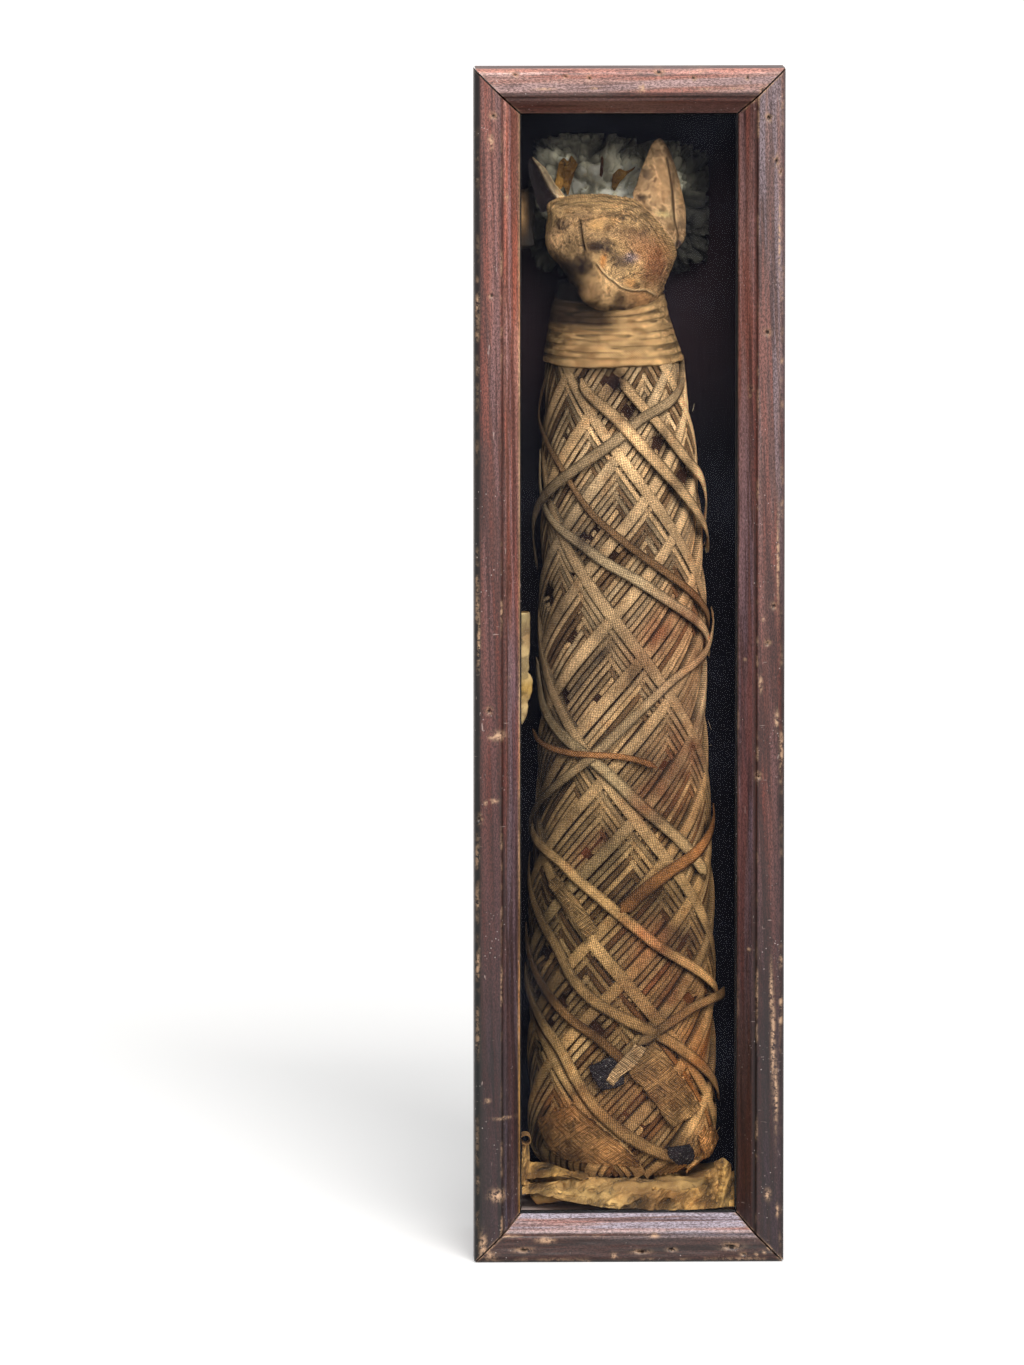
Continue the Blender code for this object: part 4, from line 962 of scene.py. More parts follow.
def wound_strips(leftward):
    """All the strips that run one way round."""
    starts = LEFT_STARTS if leftward else RIGHT_STARTS
    nested = NESTED_LEFT if leftward else NESTED_RIGHT
    name = "leftward_strips" if leftward else "rightward_strips"
    kind = "steep" if leftward else "cross"
    pile = Pile()
    for family in range(starts):
        for k in range(nested + 1):
            wound_strip(pile, leftward, family, k)
    pile.make(name, LINEN, slot="linen", replaces=(f"{kind}_under_winding", f"{kind}_upper_winding"))


# Loose strips: lift over the lozenges, width, tint, then the route as degrees round from the front, share
# of the bundle's height and extra lift in millimetres
LOOSE = {
    "loose_strip_shoulder": (1.6, 5.8, "tan", (
        (-29, 0.930, 0.0), (-24, 0.915, 0.4), (-2, 0.885, 1.0), (21, 0.841, 1.6), (39, 0.808, 1.8),
        (62, 0.770, 1.6), (84, 0.741, 1.0), (100, 0.720, 0.3))),
    "loose_strip_cross_shoulder": (0.9, 5.4, "grey", (
        (70, 0.925, 0.0), (50, 0.906, 0.2), (18, 0.885, 0.4), (-3, 0.860, 0.5), (-36, 0.824, 0.6),
        (-66, 0.790, 1.8), (-82, 0.762, 3.2), (-92, 0.735, 2.6), (-100, 0.70, 0.4))),
    "loose_strip_right_breast": (0.7, 5.6, "tan", (
        (2, 0.930, 0.0), (20, 0.896, 0.3), (27, 0.884, 0.4), (52, 0.838, 1.2), (74, 0.808, 2.4),
        (88, 0.780, 2.2), (98, 0.75, 0.6))),
    "loose_strip_left_breast": (0.7, 3.8, "brown", (
        (-76, 0.925, 0.5), (-86, 0.885, 1.8), (-67, 0.853, 0.8), (-46, 0.821, 0.5), (-23, 0.776, 1.0),
        (-6, 0.751, 1.4), (17, 0.720, 1.2), (52, 0.679, 1.0), (80, 0.647, 0.6), (95, 0.63, 0.2))),
    "loose_strip_pale_waist": (0.8, 5.0, "pale", (
        (-86, 0.841, 0.4), (-78, 0.796, 1.0), (-61, 0.767, 1.0), (-33, 0.741, 1.0), (-13, 0.719, 1.0),
        (11, 0.695, 1.0), (36, 0.666, 1.2), (66, 0.636, 1.0), (84, 0.612, 0.6), (96, 0.60, 0.2))),
    "loose_strip_long_cross": (1.6, 4.6, "grey", (
        (96, 0.655, 1.0), (88, 0.640, 1.6), (71, 0.612, 0.8), (38, 0.586, 0.6), (17, 0.558, 0.6),
        (-5, 0.521, 0.6), (-21, 0.494, 0.6), (-41, 0.467, 0.6), (-66, 0.435, 0.8), (-83, 0.410, 0.8),
        (-96, 0.39, 0.3))),
    "loose_strip_left_hip": (0.6, 5.8, "pale", (
        (-80, 0.600, 0.8), (-68, 0.551, 1.0), (-52, 0.523, 0.8), (-26, 0.493, 0.5), (-6, 0.464, 0.5),
        (11, 0.434, 0.5), (40, 0.389, 0.3), (62, 0.35, 0.1))),
    "loose_strip_twisted_end": (2.0, 3.2, "rust", (
        (-86, 0.515, 0.6), (-66, 0.503, 0.6), (-41, 0.496, 0.4), (-21, 0.495, 0.8), (-5, 0.494, 0.6),
        (10, 0.488, 0.4), (20, 0.480, 0.8))),
    "loose_strip_lower_long": (0.8, 5.2, "tan", (
        (-90, 0.412, 0.2), (-84, 0.398, 0.5), (-46, 0.371, 0.8), (-29, 0.349, 0.8), (-14, 0.328, 0.8),
        (6, 0.296, 0.8), (27, 0.265, 0.8), (72, 0.218, 0.6), (92, 0.20, 0.2))),
    "loose_strip_right_frayed": (1.2, 6.6, "rust", (
        (92, 0.425, 0.2), (82, 0.410, 0.5), (52, 0.379, 0.5), (28, 0.358, 0.5), (11, 0.336, 0.4),
        (-2, 0.312, 0.2))),
    "loose_strip_foot_long": (0.6, 5.4, "tan", (
        (-92, 0.37, 0.2), (-86, 0.350, 0.5), (-62, 0.304, 0.8), (-44, 0.269, 0.8), (-33, 0.236, 0.8),
        (-18, 0.209, 0.8), (1, 0.188, 0.8), (24, 0.165, 0.8), (42, 0.143, 0.7), (66, 0.113, 0.6),
        (84, 0.091, 0.4), (96, 0.08, 0.1))),
    "loose_strip_foot_left": (0.6, 4.6, "brown", (
        (-90, 0.288, 0.2), (-86, 0.275, 0.5), (-60, 0.228, 0.8), (-36, 0.190, 0.8), (-18, 0.168, 0.7),
        (-1, 0.140, 0.4), (6, 0.128, 0.1))),
    "loose_strip_foot_lower": (0.7, 5.6, "tan", (
        (-92, 0.24, 0.2), (-84, 0.224, 0.5), (-57, 0.179, 0.8), (-41, 0.150, 0.8), (-29, 0.114, 0.7),
        (-15, 0.079, 0.7), (4, 0.048, 0.6), (24, 0.028, 0.4), (40, 0.020, 0.1))),
    "loose_strip_foot_right": (1.1, 5.0, "grey", (
        (92, 0.206, 3.4), (78, 0.207, 3.0), (50, 0.200, 1.2), (32, 0.186, 0.8), (20, 0.172, 0.5),
        (8, 0.158, 0.2))),
}
LOOSE_TINTS = {
    "tan": TAN * 1.02,
    "grey": GREY * 0.40 + TAN * 0.34,
    "brown": BROWN * 0.5 + TAN * 0.36,
    "pale": PALE * 0.5 + TAN * 0.25,
    "rust": RUST * 0.6 + TAN * 0.28,
}
LOOSE_GAIN = {                  # how much lighter or darker than its tint a loose strip is seen
    "loose_strip_lower_long": 1.9, "loose_strip_left_breast": 0.8, "loose_strip_foot_long": 1.0,
    "loose_strip_left_hip": 1.4, "loose_strip_long_cross": 1.3, "loose_strip_shoulder": 0.95,
    "loose_strip_pale_waist": 1.5, "loose_strip_cross_shoulder": 0.85, "loose_strip_twisted_end": 1.5,
    "loose_strip_right_frayed": 1.15,
}
LATTICE_TOP = LOWEST + NESTED_LEFT * STEP + STEP / 2


def loose_strips():
    """The loose strips over the lozenges, each a closed ribbon that leans and narrows at its ends."""
    for number, (node, (over, wide, tint_name, route)) in enumerate(LOOSE.items()):
        path, at = loose_path(route)
        seed = 900 + 17 * number
        uneven = 0.08 * along_noise(at, 16 * MM, seed, 2) + 0.03 * along_noise(at, 1.6 * MM, seed + 1)
        width = wide * MM * (1 + uneven)
        ends = np.clip(np.minimum(at, at[-1] - at) / (3 * MM), 0.35, 1)
        lift = LATTICE_TOP + over * MM + path[:, 2] + 0.25 * MM * along_noise(at, 18 * MM, seed + 2, 2)
        points, across = ribbon(path[:, 0], path[:, 1], lift, width * ends, None, 0.2 * MM, closed=True)
        lean = along_noise(at, 30 * MM, seed + 4, 2)[:, None] * across * 0.45 * MM
        height = points[..., 2]
        out = points - stacked(ring_value(1, height), ring_value(3, height), height)
        out /= np.linalg.norm(out, axis=-1)[..., None]
        points = points + out * lean[..., None]
        # Painted shade along the strip's two edges
        edge = np.where(np.abs(across) > 0.95, 0.4, 1.0)
        patchy = np.clip(1 + 0.22 * along_noise(at, 12 * MM, seed + 7, 3), 0.6, 1.3)[:, None]
        gain = edge * patchy * LOOSE_GAIN.get(node, 1.0)
        tint = linen_tint(LOOSE_TINTS[tint_name], points, 2) * gain[..., None]
        pile = Pile()
        pile.add(points, closed=True, caps=True, tint=tint, weave=weave_places(at + seed, across, width))
        pile.make(node + "_cloth", LINEN, slot="pale_linen", replaces=(node,))


def skin_place(px, py, lift=LATTICE_TOP):
    """Where on the bundle's skin a photo pixel lies: run round it and rise from its foot."""
    depth = BEHIND
    for _ in range(8):
        x, z = from_photo(px, py, depth)
        across = (x - ring_value(1, z)) / (ring_value(2, z) + lift)
        angle = math.asin(min(max(float(across), -0.9995), 0.9995))
        depth = float(ring_value(3, z) - (ring_value(4, z) + lift) * math.cos(angle)) - FRONT
    return angle * ROUND, float(z) - FOOT


def skin_line(pixels, count):
    """A smooth line of points on the bundle's skin, as run and rise, through a few photo pixels."""
    places = [skin_place(px, py) for px, py in pixels]
    return spline(places, np.linspace(0, len(places) - 1, count))


# Torn cloths over the strips: tint, lift in millimetres, how light, then left and right edges as photo pixels
TORN_CLOTHS = {
    "brown_flap": (
        "tan", 1.3, 0.62, ((648, 1046), (638, 1060), (628, 1073), (640, 1087), (653, 1104), (671, 1129)),
        ((660, 1052), (668, 1062), (676, 1074), (685, 1088), (692, 1099), (700, 1110))),
    "black_patch": (
        "black", 1.0, 1.0, ((588, 1068), (594, 1080), (602, 1092)), ((610, 1057), (620, 1066), (624, 1084))),
    "pale_tear": (
        "pale", 1.6, 0.9, ((634, 1045), (627, 1053), (620, 1060), (612, 1070), (606, 1081)),
        ((645, 1049), (639, 1059), (632, 1068), (622, 1075), (613, 1086))),
    "foot_cloth": (
        "brown", 0.5, 0.85, ((537, 1122), (541, 1136), (548, 1150), (560, 1161)),
        ((574, 1106), (598, 1126), (622, 1146), (642, 1169))),
    "dark_foot_patch": (
        "black", 1.2, 1.1, ((666, 1150), (667, 1158), (676, 1167)), ((688, 1146), (693, 1156), (690, 1166))),
    "ragged_foot_end": (
        "brown", 1.4, 0.8, ((696, 1138), (699, 1150), (702, 1163)), ((711, 1128), (716, 1144), (714, 1158))),
    "wide_frayed_band": (
        "tan", 0.5, 0.75, ((548, 884), (560, 901), (574, 920), (586, 938)),
        ((558, 875), (571, 892), (586, 912), (598, 930))),
}
SCALE_PITCH = 17 * MM           # size of the nested lozenges pressed into the foot cloths


def pressed_lozenges(run, rise):
    """Nested lozenges from -1 to 1, as the strips underneath press them into a cloth."""
    u = ((run + rise * 1.15) / SCALE_PITCH) % 1 - 0.5
    v = ((run - rise * 1.35) / SCALE_PITCH) % 1 - 0.5
    return np.sin(np.maximum(np.abs(u), np.abs(v)) * 2 * math.pi * 7)


def torn_cloth(name, tint_name, over, gain, left, right, seed):
    """One ragged cloth between two edges, pressed by the strips under it and cracked."""
    count = 150
    start = skin_line(left, count)[:, None]
    end = skin_line(right, count)[:, None]
    share = np.linspace(0, 1, 100)[None, :]
    rows = np.linspace(0, 1, count)[:, None]
    ragged = noise(stacked(rows * 20 + seed, share * 0, 0), 1.1, seed, 4) * 0.05
    torn_end = noise(stacked(share * 20 + seed, rows * 0, share * 0), 0.8, seed + 1, 4) * 1.1 * MM
    share = share + ragged * (2 * share - 1)
    run = start[..., 0] * (1 - share) + end[..., 0] * share
    rise = start[..., 1] * (1 - share) + end[..., 1] * share + torn_end * np.abs(2 * rows - 1) ** 8
    flat = stacked(run, rise, 0)
    pressed = pressed_lozenges(run + 0.6 * MM * noise(flat, 6 * MM, seed + 8), rise)
    lift = LATTICE_TOP + over * MM + noise(flat, 9 * MM, seed + 2, 3) * 0.5 * MM
    lift = lift + noise(flat, 2.4 * MM, seed + 3, 2) * 0.22 * MM + 0.12 * MM * pressed
    points = on_bundle(run, rise, lift)
    plain = {"black": np.array(rgb(38, 32, 34)), "pale": TAN * 0.55}
    if tint_name in plain:
        tint = np.broadcast_to(plain[tint_name], points.shape)
    else:
        tint = linen_tint(LOOSE_TINTS[tint_name], points, 5)
    crack = hump(noise(flat, 3.6 * MM, seed + 6, 2), 0, 0.07)
    crack = np.maximum(crack, 0.3 * hump(noise(flat, 1.9 * MM, seed + 16, 2), 0, 0.10))
    crack = crack * (0.6 if tint_name == "brown" else 0.4)
    patchy = 1 + 0.40 * noise(flat, 2.6 * MM, seed + 4, 3)
    # Darker in the troughs and lighter on the ridges of the pressed lozenges: painted shade and light
    tint = tint * (gain * patchy * (1 - crack) * (1 + 0.42 * np.clip(pressed, -1, 0.4)))[..., None]
    if tint_name == "black":
        dust = np.clip(noise(flat, 0.7 * MM, seed + 12, 3) * 2.2 - 1.2, 0, 0.45)
        tint = blend(tint, rgb(150, 144, 134), dust)
    # Painted shade: darker along the cloth's edges, and on its underside, which gets 0.4 of the top's tint
    rim = np.clip(np.minimum(share, 1 - share) / 0.03, 0.45, 1)[..., None]
    tint = np.clip(tint * rim, 0.002, 1)
    pile = Pile()
    pile.add(section_of(points, on_bundle(run, rise, lift - 0.5 * MM)), closed=True, caps=True, flip=True,
             tint=section_of(tint, tint * 0.4), weave=section_of(flat, flat))
    pile.make(name, LINEN, slot="linen")


def torn_cloths():
    """Wide ragged cloths that lie over the strips, most of them near the foot."""
    for number, (name, row) in enumerate(TORN_CLOTHS.items()):
        torn_cloth(name, *row, 700 + 10 * number)


# Combs of loose threads: the row's two ends and the way each thread points, in photo pixels
COMBS = (
    (571, 646, 583, 631, -4.5, -2.5), (664, 870, 690, 846, -3.5, -3.5), (560, 871, 602, 926, 4.0, -3.0),
    (643, 806, 660, 790, -3.0, -3.0), (596, 812, 612, 838, 3.5, -2.0), (550, 742, 566, 757, -3.0, 4.0),
    (598, 640, 618, 622, -3.5, -3.0), (545, 700, 556, 722, -4.0, 2.0), (650, 1002, 668, 984, -3.0, -3.5),
    (588, 520, 602, 506, -3.5, -2.5), (630, 548, 650, 530, -3.0, -3.5),
    (606, 1082, 618, 1092, -1.0, 5.0), (700, 1140, 716, 1136, 1.0, -5.0),
    (575, 905, 588, 925, -4.0, 2.0),
)
COMB_STEP = 2.3                  # photo pixels from one thread of a comb to the next
STRAYS = 150
STRAY_COLUMNS = (545, 708)      # photo pixels between which the stray threads lie
STRAY_ROWS = (385, 1165)


def threads():
    """Loose threads: combs at the frayed edges, and stray curled ones."""
    rng = np.random.default_rng(88)
    pile = Pile()
    routes = []
    for x0, y0, x1, y1, dx, dy in COMBS:
        count = int(math.hypot(x1 - x0, y1 - y0) / COMB_STEP)
        for k in range(count + 1):
            t = (k + rng.uniform(-0.2, 0.2)) / count
            reach = rng.uniform(0.5, 1.15)
            routes.append((x0 + (x1 - x0) * t, y0 + (y1 - y0) * t, dx * reach, dy * reach, 0.12, 0.3))
    for _ in range(STRAYS):
        turn = rng.uniform(0, 2 * math.pi)
        reach = rng.uniform(2.5, 9.0)
        px = rng.uniform(*STRAY_COLUMNS)
        py = rng.uniform(*STRAY_ROWS)
        routes.append((px, py, reach * math.cos(turn), reach * math.sin(turn), 0.10, 1.4))
    grids = []
    for px, py, dx, dy, thick, curl in routes:
        start = np.array(skin_place(px, py))
        end = np.array(skin_place(px + dx, py + dy))
        t = np.linspace(0, 1, 9)
        bend = rng.uniform(-curl, curl) * MM
        side = np.array([end[1] - start[1], start[0] - end[0]])
        side = side / (np.linalg.norm(side) + 1e-9)
        t = t[:, None]
        way = start * (1 - t) + end * t + side * bend * np.sin(math.pi * t * 1.3)
        up = LATTICE_TOP + (0.5 + rng.uniform(0.2, 1.6) * t) * MM
        radius = thick * MM * (1 - 0.4 * t)
        around = np.array([0, 2.1, 4.2])
        out = radius * np.cos(around)
        up = up + radius * np.sin(around)
        grids.append(on_bundle(way[:, :1] + out * side[0], way[:, 1:] + out * side[1], up))
    points = np.array(grids)
    tint = linen_tint(PALE, points, 6) * rng.uniform(0.45, 1.0, (len(points), 1, 1, 1))
    for grid, colour in zip(points, np.clip(tint, 0.01, 1)):
        pile.add(grid, closed=True, caps=True, tint=colour, weave=grid * 0)
    pile.make("loose_threads", LINEN, slot="linen")


def bundle_core():
    """The cloth that shows between the strips, painted dark as the shade in the gaps between them."""
    run = np.linspace(0, GIRTH, 181)[:-1]
    rise = np.r_[0.0, np.linspace(0.002, 1.0, 170)] * TALL
    waist = np.clip((FOOT + rise[:, None] - NECK_START) / (10 * MM), 0, 1) * 6.0 * MM
    points = on_bundle(run[None, :], rise[:, None], 0.25 * MM - waist + 0 * run[None, :])
    points = points + noise(points, 4 * MM, 3, 2)[..., None] * 0.2 * MM
    tint = linen_tint(DARK * 0.9 + BROWN * 0.20, points, 3)
    pile = Pile()
    pile.add(points, closed=True, caps=True, tint=tint, weave=stacked(run[None, :], rise[:, None], 0))
    body = pile.make("bundle_core", LINEN, slot="dark_linen", replaces=("body_bundle",))


# Neck winding: for each turn's lower edge its height, how far its right end climbs and how far it stands
# out, in millimetres
NECK_TURNS = (
    (432.6, 0.6, 3.4), (436.4, 0.3, 2.9), (439.2, -0.3, 2.5), (442.2, 0.3, 2.1), (445.2, 0.4, 1.7),
    (448.0, 0.7, 1.35), (450.6, 0.6, 1.05), (453.4, 1.6, 0.75), (456.4, 3.4, 0.45), (459.0, 8.5, 0.2),
)
NECK_BAND = 6.4 * MM
NECK_INNER = (452 * MM, 472 * MM)      # heights between which the neck's inside shows under the head


def neck_place(angle, z, out):
    """Points round the neck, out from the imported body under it, which ends inside the head."""
    shrink = np.clip((z - RINGS[-1, 0]) / 0.02, 0, 1) * 2.5 * MM
    right = (1.3 + 3.6 * np.clip((z - 0.434) / 0.022, 0, 1)) * MM
    half = ring_value(2, z) - shrink + out - right * np.clip(np.sin(angle) * 1.4, 0, 1)
    deep = ring_value(4, z) - shrink + out
    return stacked(ring_value(1, z) + half * np.sin(angle), ring_value(3, z) - deep * np.cos(angle), z)


NECK_SECTION = (                # up the band, then out from it, in halves of a millimetre
    (0.0, -0.5), (0.06, 0.4), (0.10, 0.95), (0.14, 1.10), (0.19, 1.15), (0.32, 0.95),
    (0.44, 0.62), (0.53, 0.40), (0.62, 0.20), (0.9, -0.2), (1.0, -0.8), (0.5, -0.9),
)
# Painted shade across each band, at each point of its section: dark at its lower edge and where the next turn
# lies over it
NECK_SHADES = (0.03, 0.05, 0.08, 0.45, 1.12, 1.10, 0.98, 0.62, 0.30, 0.3, 0.3, 0.3)


def neck_turns():
    """Bands wound round the neck, each one's lower edge over the turn below it."""
    angle = np.linspace(-math.pi, math.pi, 261)
    at = angle * RINGS[-1, 2]
    swing = np.sin(angle)
    pile = Pile()
    inner = neck_place(angle[None, :], np.linspace(*NECK_INNER, 12)[:, None], 0.3 * MM)
    # Painted shade: the neck's inside under the head is near black, with painted light towards the right
    lit = np.clip((swing - 0.25) * 2.5, 0, 1)[None, :] * np.ones((12, 1))
    pile.add(inner, caps=True, tint=blend(DARK * 0.25, TAN * 0.45 + BROWN * 0.2, lit),
             weave=stacked(at, inner[..., 2], 0))
    up, out = np.array(NECK_SECTION).T
    shades = np.minimum(np.array(NECK_SHADES) - 1, 0)
    ring = stacked(swing, -np.cos(angle), 0)
    for k, (height, climb, proud) in enumerate(NECK_TURNS):
        rng = np.random.default_rng(70 + k)
        wave = noise(ring, 0.55, 60 + k, 2) * 0.6 * MM + noise(ring, 0.12, 80 + k) * 0.16 * MM
        low = height * MM + wave + climb * MM * np.clip(ring[:, 0], -0.2, 1) * (ring[:, 1] < 0.6)
        puff = noise(ring, 0.4, 90 + k, 2) * 0.16 * MM
        proud = (proud + 0.9) * MM + out * 0.5 * MM + puff[:, None]
        points = neck_place(angle[:, None], low[:, None] + NECK_BAND * up, proud)
        base = TAN * [1.0, 0.97, 0.84] * rng.uniform(0.74, 0.92) + GREY * 0.06
        stain = np.clip(0.3 + 1.2 * noise(points, 14 * MM, 31 + k, 3), 0, 1) * 0.26
        tint = blend(base, RUST * 0.8, stain)
        patchy = 1 + 0.28 * noise(points * [0.3, 1, 1], 2.2 * MM, 37 + k, 3)
        fibres = 1 + 0.42 * np.clip(noise(points * [0.12, 0.12, 1], 0.8 * MM, 47 + k, 2), -1, 0.4)
        # Painted light and shade: the turns darker to the left and lighter to the right, and lighter at the
        # lowest, most raised turns
        seen = np.interp(swing, (-1, -0.8, -0.35, 0.1, 0.5, 1), (0.50, 0.56, 0.66, 0.80, 1.02, 0.98))
        raised = np.interp(points[..., 2], (0.434, 0.440, 0.452), (1.14, 1.0, 0.92))
        tint = tint * (patchy * fibres * seen[:, None] * raised)[..., None]
        # Painted shade at the far left, and the chin's painted shadow over the top turns at the left and
        # middle
        left_shade = np.clip((-0.72 - swing) * 2.0, 0, 0.5)[:, None]
        under_head = np.clip((points[..., 2] - 0.4488) / 0.0045, 0, 1)
        chin_shadow = under_head * np.clip((0.12 - swing) * 3, 0, 1)[:, None]
        tint = blend(tint, DARK * 0.6, np.maximum(left_shade, 0.9 * chin_shadow))
        broken = np.clip(0.62 + 1.1 * noise(ring, 0.5, 120 + k, 3), 0.12, 1)[:, None]
        tint = tint * (1 + shades * broken)[..., None]
        points[-1] = points[0]
        pile.add(points, closed=True, flip=True, tint=tint, weave=weave_places(at, up * 2, NECK_BAND))
    pile.make("neck_turns", LINEN, slot="linen", replaces=("neck_winding",))


# Head

# Outline of the head in the photo's pixels, clockwise from the left end of the crown
HEAD_OUTLINE = (
    (547, 205), (553, 199.5), (564, 196.5), (580, 194.7), (600, 194.2), (619, 196.4), (635, 200),
    (645, 205.6), (653.5, 214.6), (661.5, 226), (669.5, 238), (675.5, 250), (673.6, 259), (669.5, 269),
    (664.6, 281), (659, 292), (652, 301), (643, 308), (628, 313), (606, 313), (588, 307), (577, 294),
    (569, 281), (562, 269), (554.5, 259.5), (548.5, 250), (544.4, 239), (545, 227), (547, 216),
)
HEAD_MIDDLE = (610.5, 253.0)
HEAD_DEPTH = 57 * MM            # how far behind the frame's face the outline lies
FACE_DEEP = 28 * MM             # from the outline forward
NAPE_DEEP = 30 * MM
HEAD_LOWEST = 454.5 * MM
# Lumps and hollows: pixel, reach across and up in pixels, turn, height in millimetres
FACE_LUMPS = (
    (603, 284, 26, 24, 0, 11.0), (600, 300, 24, 12, 0, 3.0), (598, 262, 20, 16, 0, 5.0),
    (590, 244, 13, 14, 0, 3.0), (622, 219, 16, 9, 4, 1.6), (561, 224, 11, 10, 0, 1.2),
    (646, 262, 22, 24, 0, 4.0), (563, 250, 14, 16, 0, 2.0), (600, 228, 16, 10, 0, -1.2),
    (571, 268, 10, 16, 30, -2.0), (660, 235, 9, 20, -30, 1.2),
)
# Stains on the head: pixel, reach across and up, turn, tint, strength. The near-black ones at the lower left
# and under the chin are painted shadow over dark staining
HEAD_STAINS = (
    (600, 247, 12, 6.5, 10, (22, 20, 30), 0.97), (592, 247, 6, 5, 0, (22, 20, 30), 0.9),
    (607, 242, 8, 3, 20, (30, 26, 34), 0.7), (622, 262, 10, 7, 10, (44, 36, 44), 0.65),
    (631, 258, 7, 5, 0, (122, 116, 128), 0.7), (621, 279, 7, 5, 40, (40, 30, 26), 0.6),
    (628, 283, 6, 5, 0, (176, 112, 46), 0.8), (634, 286, 4, 5, 0, (38, 28, 24), 0.6),
    (602, 262, 3.2, 8, 12, (170, 106, 48), 0.8), (600, 270, 2.6, 5, -20, (176, 116, 58), 0.8),
    (561, 224, 6, 5, 0, (52, 44, 46), 0.7), (553, 231, 5, 8, 20, (60, 46, 38), 0.5),
    (566, 232, 8, 8, 0, (70, 56, 46), 0.45), (622, 218, 2.6, 2.2, 0, (40, 36, 44), 0.85),
    (640, 216, 10, 3, -24, (44, 36, 36), 0.6), (632, 208, 14, 2, -12, (48, 40, 38), 0.5),
    (583, 206, 18, 2.4, 2, (52, 42, 34), 0.55), (558, 204, 8, 2, 10, (40, 32, 28), 0.6),
    (575, 215, 12, 4, 15, (62, 48, 40), 0.45), (583, 224, 26, 15, 0, (128, 98, 72), 0.45),
    (598, 219, 10, 8, 0, (186, 144, 94), 0.5), (594, 226, 8, 6, 0, (200, 154, 94), 0.55),
    (553, 242, 9, 11, 20, (214, 168, 120), 0.9), (560, 258, 12, 7, 35, (58, 46, 44), 0.6),
    (577, 262, 12, 8, -20, (48, 40, 42), 0.75), (586, 268, 9, 7, 0, (52, 44, 42), 0.40),
    (570, 275, 12, 16, 35, (24, 18, 18), 0.9), (578, 292, 10, 14, 30, (20, 15, 16), 0.9),
    (584, 304, 12, 6, 10, (24, 18, 16), 0.8), (606, 288, 22, 16, 0, (206, 166, 116), 0.8),
    (592, 292, 12, 9, 0, (190, 148, 102), 0.7), (638, 297, 20, 8, 5, (190, 140, 92), 0.7),
    (618, 297, 5, 6, 0, (84, 62, 40), 0.6), (640, 300, 14, 8, 20, (156, 108, 62), 0.5),
    (655, 265, 15, 24, 10, (118, 66, 42), 0.8), (645, 248, 20, 16, 20, (132, 84, 52), 0.6),
    (635, 238, 24, 12, 10, (124, 90, 64), 0.62), (612, 232, 12, 5, 0, (66, 54, 50), 0.4),
    (590, 236, 14, 7, 0, (120, 96, 70), 0.4), (645, 232, 10, 3, -35, (60, 48, 46), 0.5),
    (663, 248, 5, 16, -30, (150, 104, 62), 0.4), (606, 313, 34, 6, 0, (14, 10, 12), 0.95),
    (624, 307, 12, 6, 10, (88, 62, 42), 0.6), (618, 309, 12, 3, 12, (14, 10, 12), 0.8),
    (584, 268, 9, 8, -20, (26, 20, 26), 0.9), (560, 262, 9, 6, 40, (36, 26, 28), 0.7),
    (618, 300, 6, 8, 20, (60, 42, 28), 0.7), (618, 264, 10, 8, 0, (40, 32, 38), 0.5),
    (612, 254, 8, 5, 0, (30, 24, 32), 0.6), (592, 305, 10, 4, 10, (40, 28, 22), 0.7),
    (562, 272, 10, 10, 40, (22, 16, 18), 0.85), (571, 290, 8, 12, 30, (20, 15, 16), 0.85),
    (588, 248, 9, 10, 0, (70, 50, 38), 0.6), (572, 246, 10, 8, 0, (62, 46, 40), 0.55),
    (648, 222, 12, 5, -40, (70, 50, 40), 0.5), (612, 214, 20, 3, 4, (54, 40, 34), 0.55),
    (606, 226, 6, 5, 0, (70, 52, 42), 0.5), (586, 218, 5, 4, 0, (78, 56, 42), 0.5),
    (630, 230, 10, 4, 20, (74, 54, 42), 0.5),
)
EYES = ((622.5, 218.5, 15, 8, 3), (561, 224, 8, 7, 1))     # pixel, reach across and up, rings round it
CHIN_FLAP = (
    (597, 266), (601, 272), (607, 278), (613, 282), (620, 287.5), (629, 290.2), (645, 290.2), (652, 294),
)
CHIN_COLUMNS = (594, 662)       # the flap's left and right ends
MUZZLE = (616, 264, 24, 22)     # pixel and reach of the places where the cloth is most mottled
TEMPLE = (560, 235, 14, 26)
SLIT_LINE = ((577.5, 219), (578.5, 228), (579.5, 238), (582.5, 250))
CROWN_TURNS = (2.6, 6.0, 10.5, 15.5)   # how far inside the outline each turn's lower edge lies, in pixels
CROWN_FOOT = 262                # photo row where the crown's turns have died away
CROWN_COLUMNS = (540, 630)      # they start at the one and spread to the left of the other


def line_distance(px, py, line):
    """How far photo places lie from a line, and on which side: left of its run is above zero."""
    best = np.full(np.shape(px), 1e9)
    side = np.zeros(np.shape(px))
    for (x0, y0), (x1, y1) in zip(line, line[1:]):
        dx = x1 - x0
        dy = y1 - y0
        length = dx * dx + dy * dy
        t = np.clip(((px - x0) * dx + (py - y0) * dy) / length, 0, 1)
        away = np.hypot(px - x0 - t * dx, py - y0 - t * dy)
        cross = (px - x0) * dy - (py - y0) * dx
        side = np.where(away < best, np.sign(cross), side)
        best = np.minimum(best, away)
    return best, side


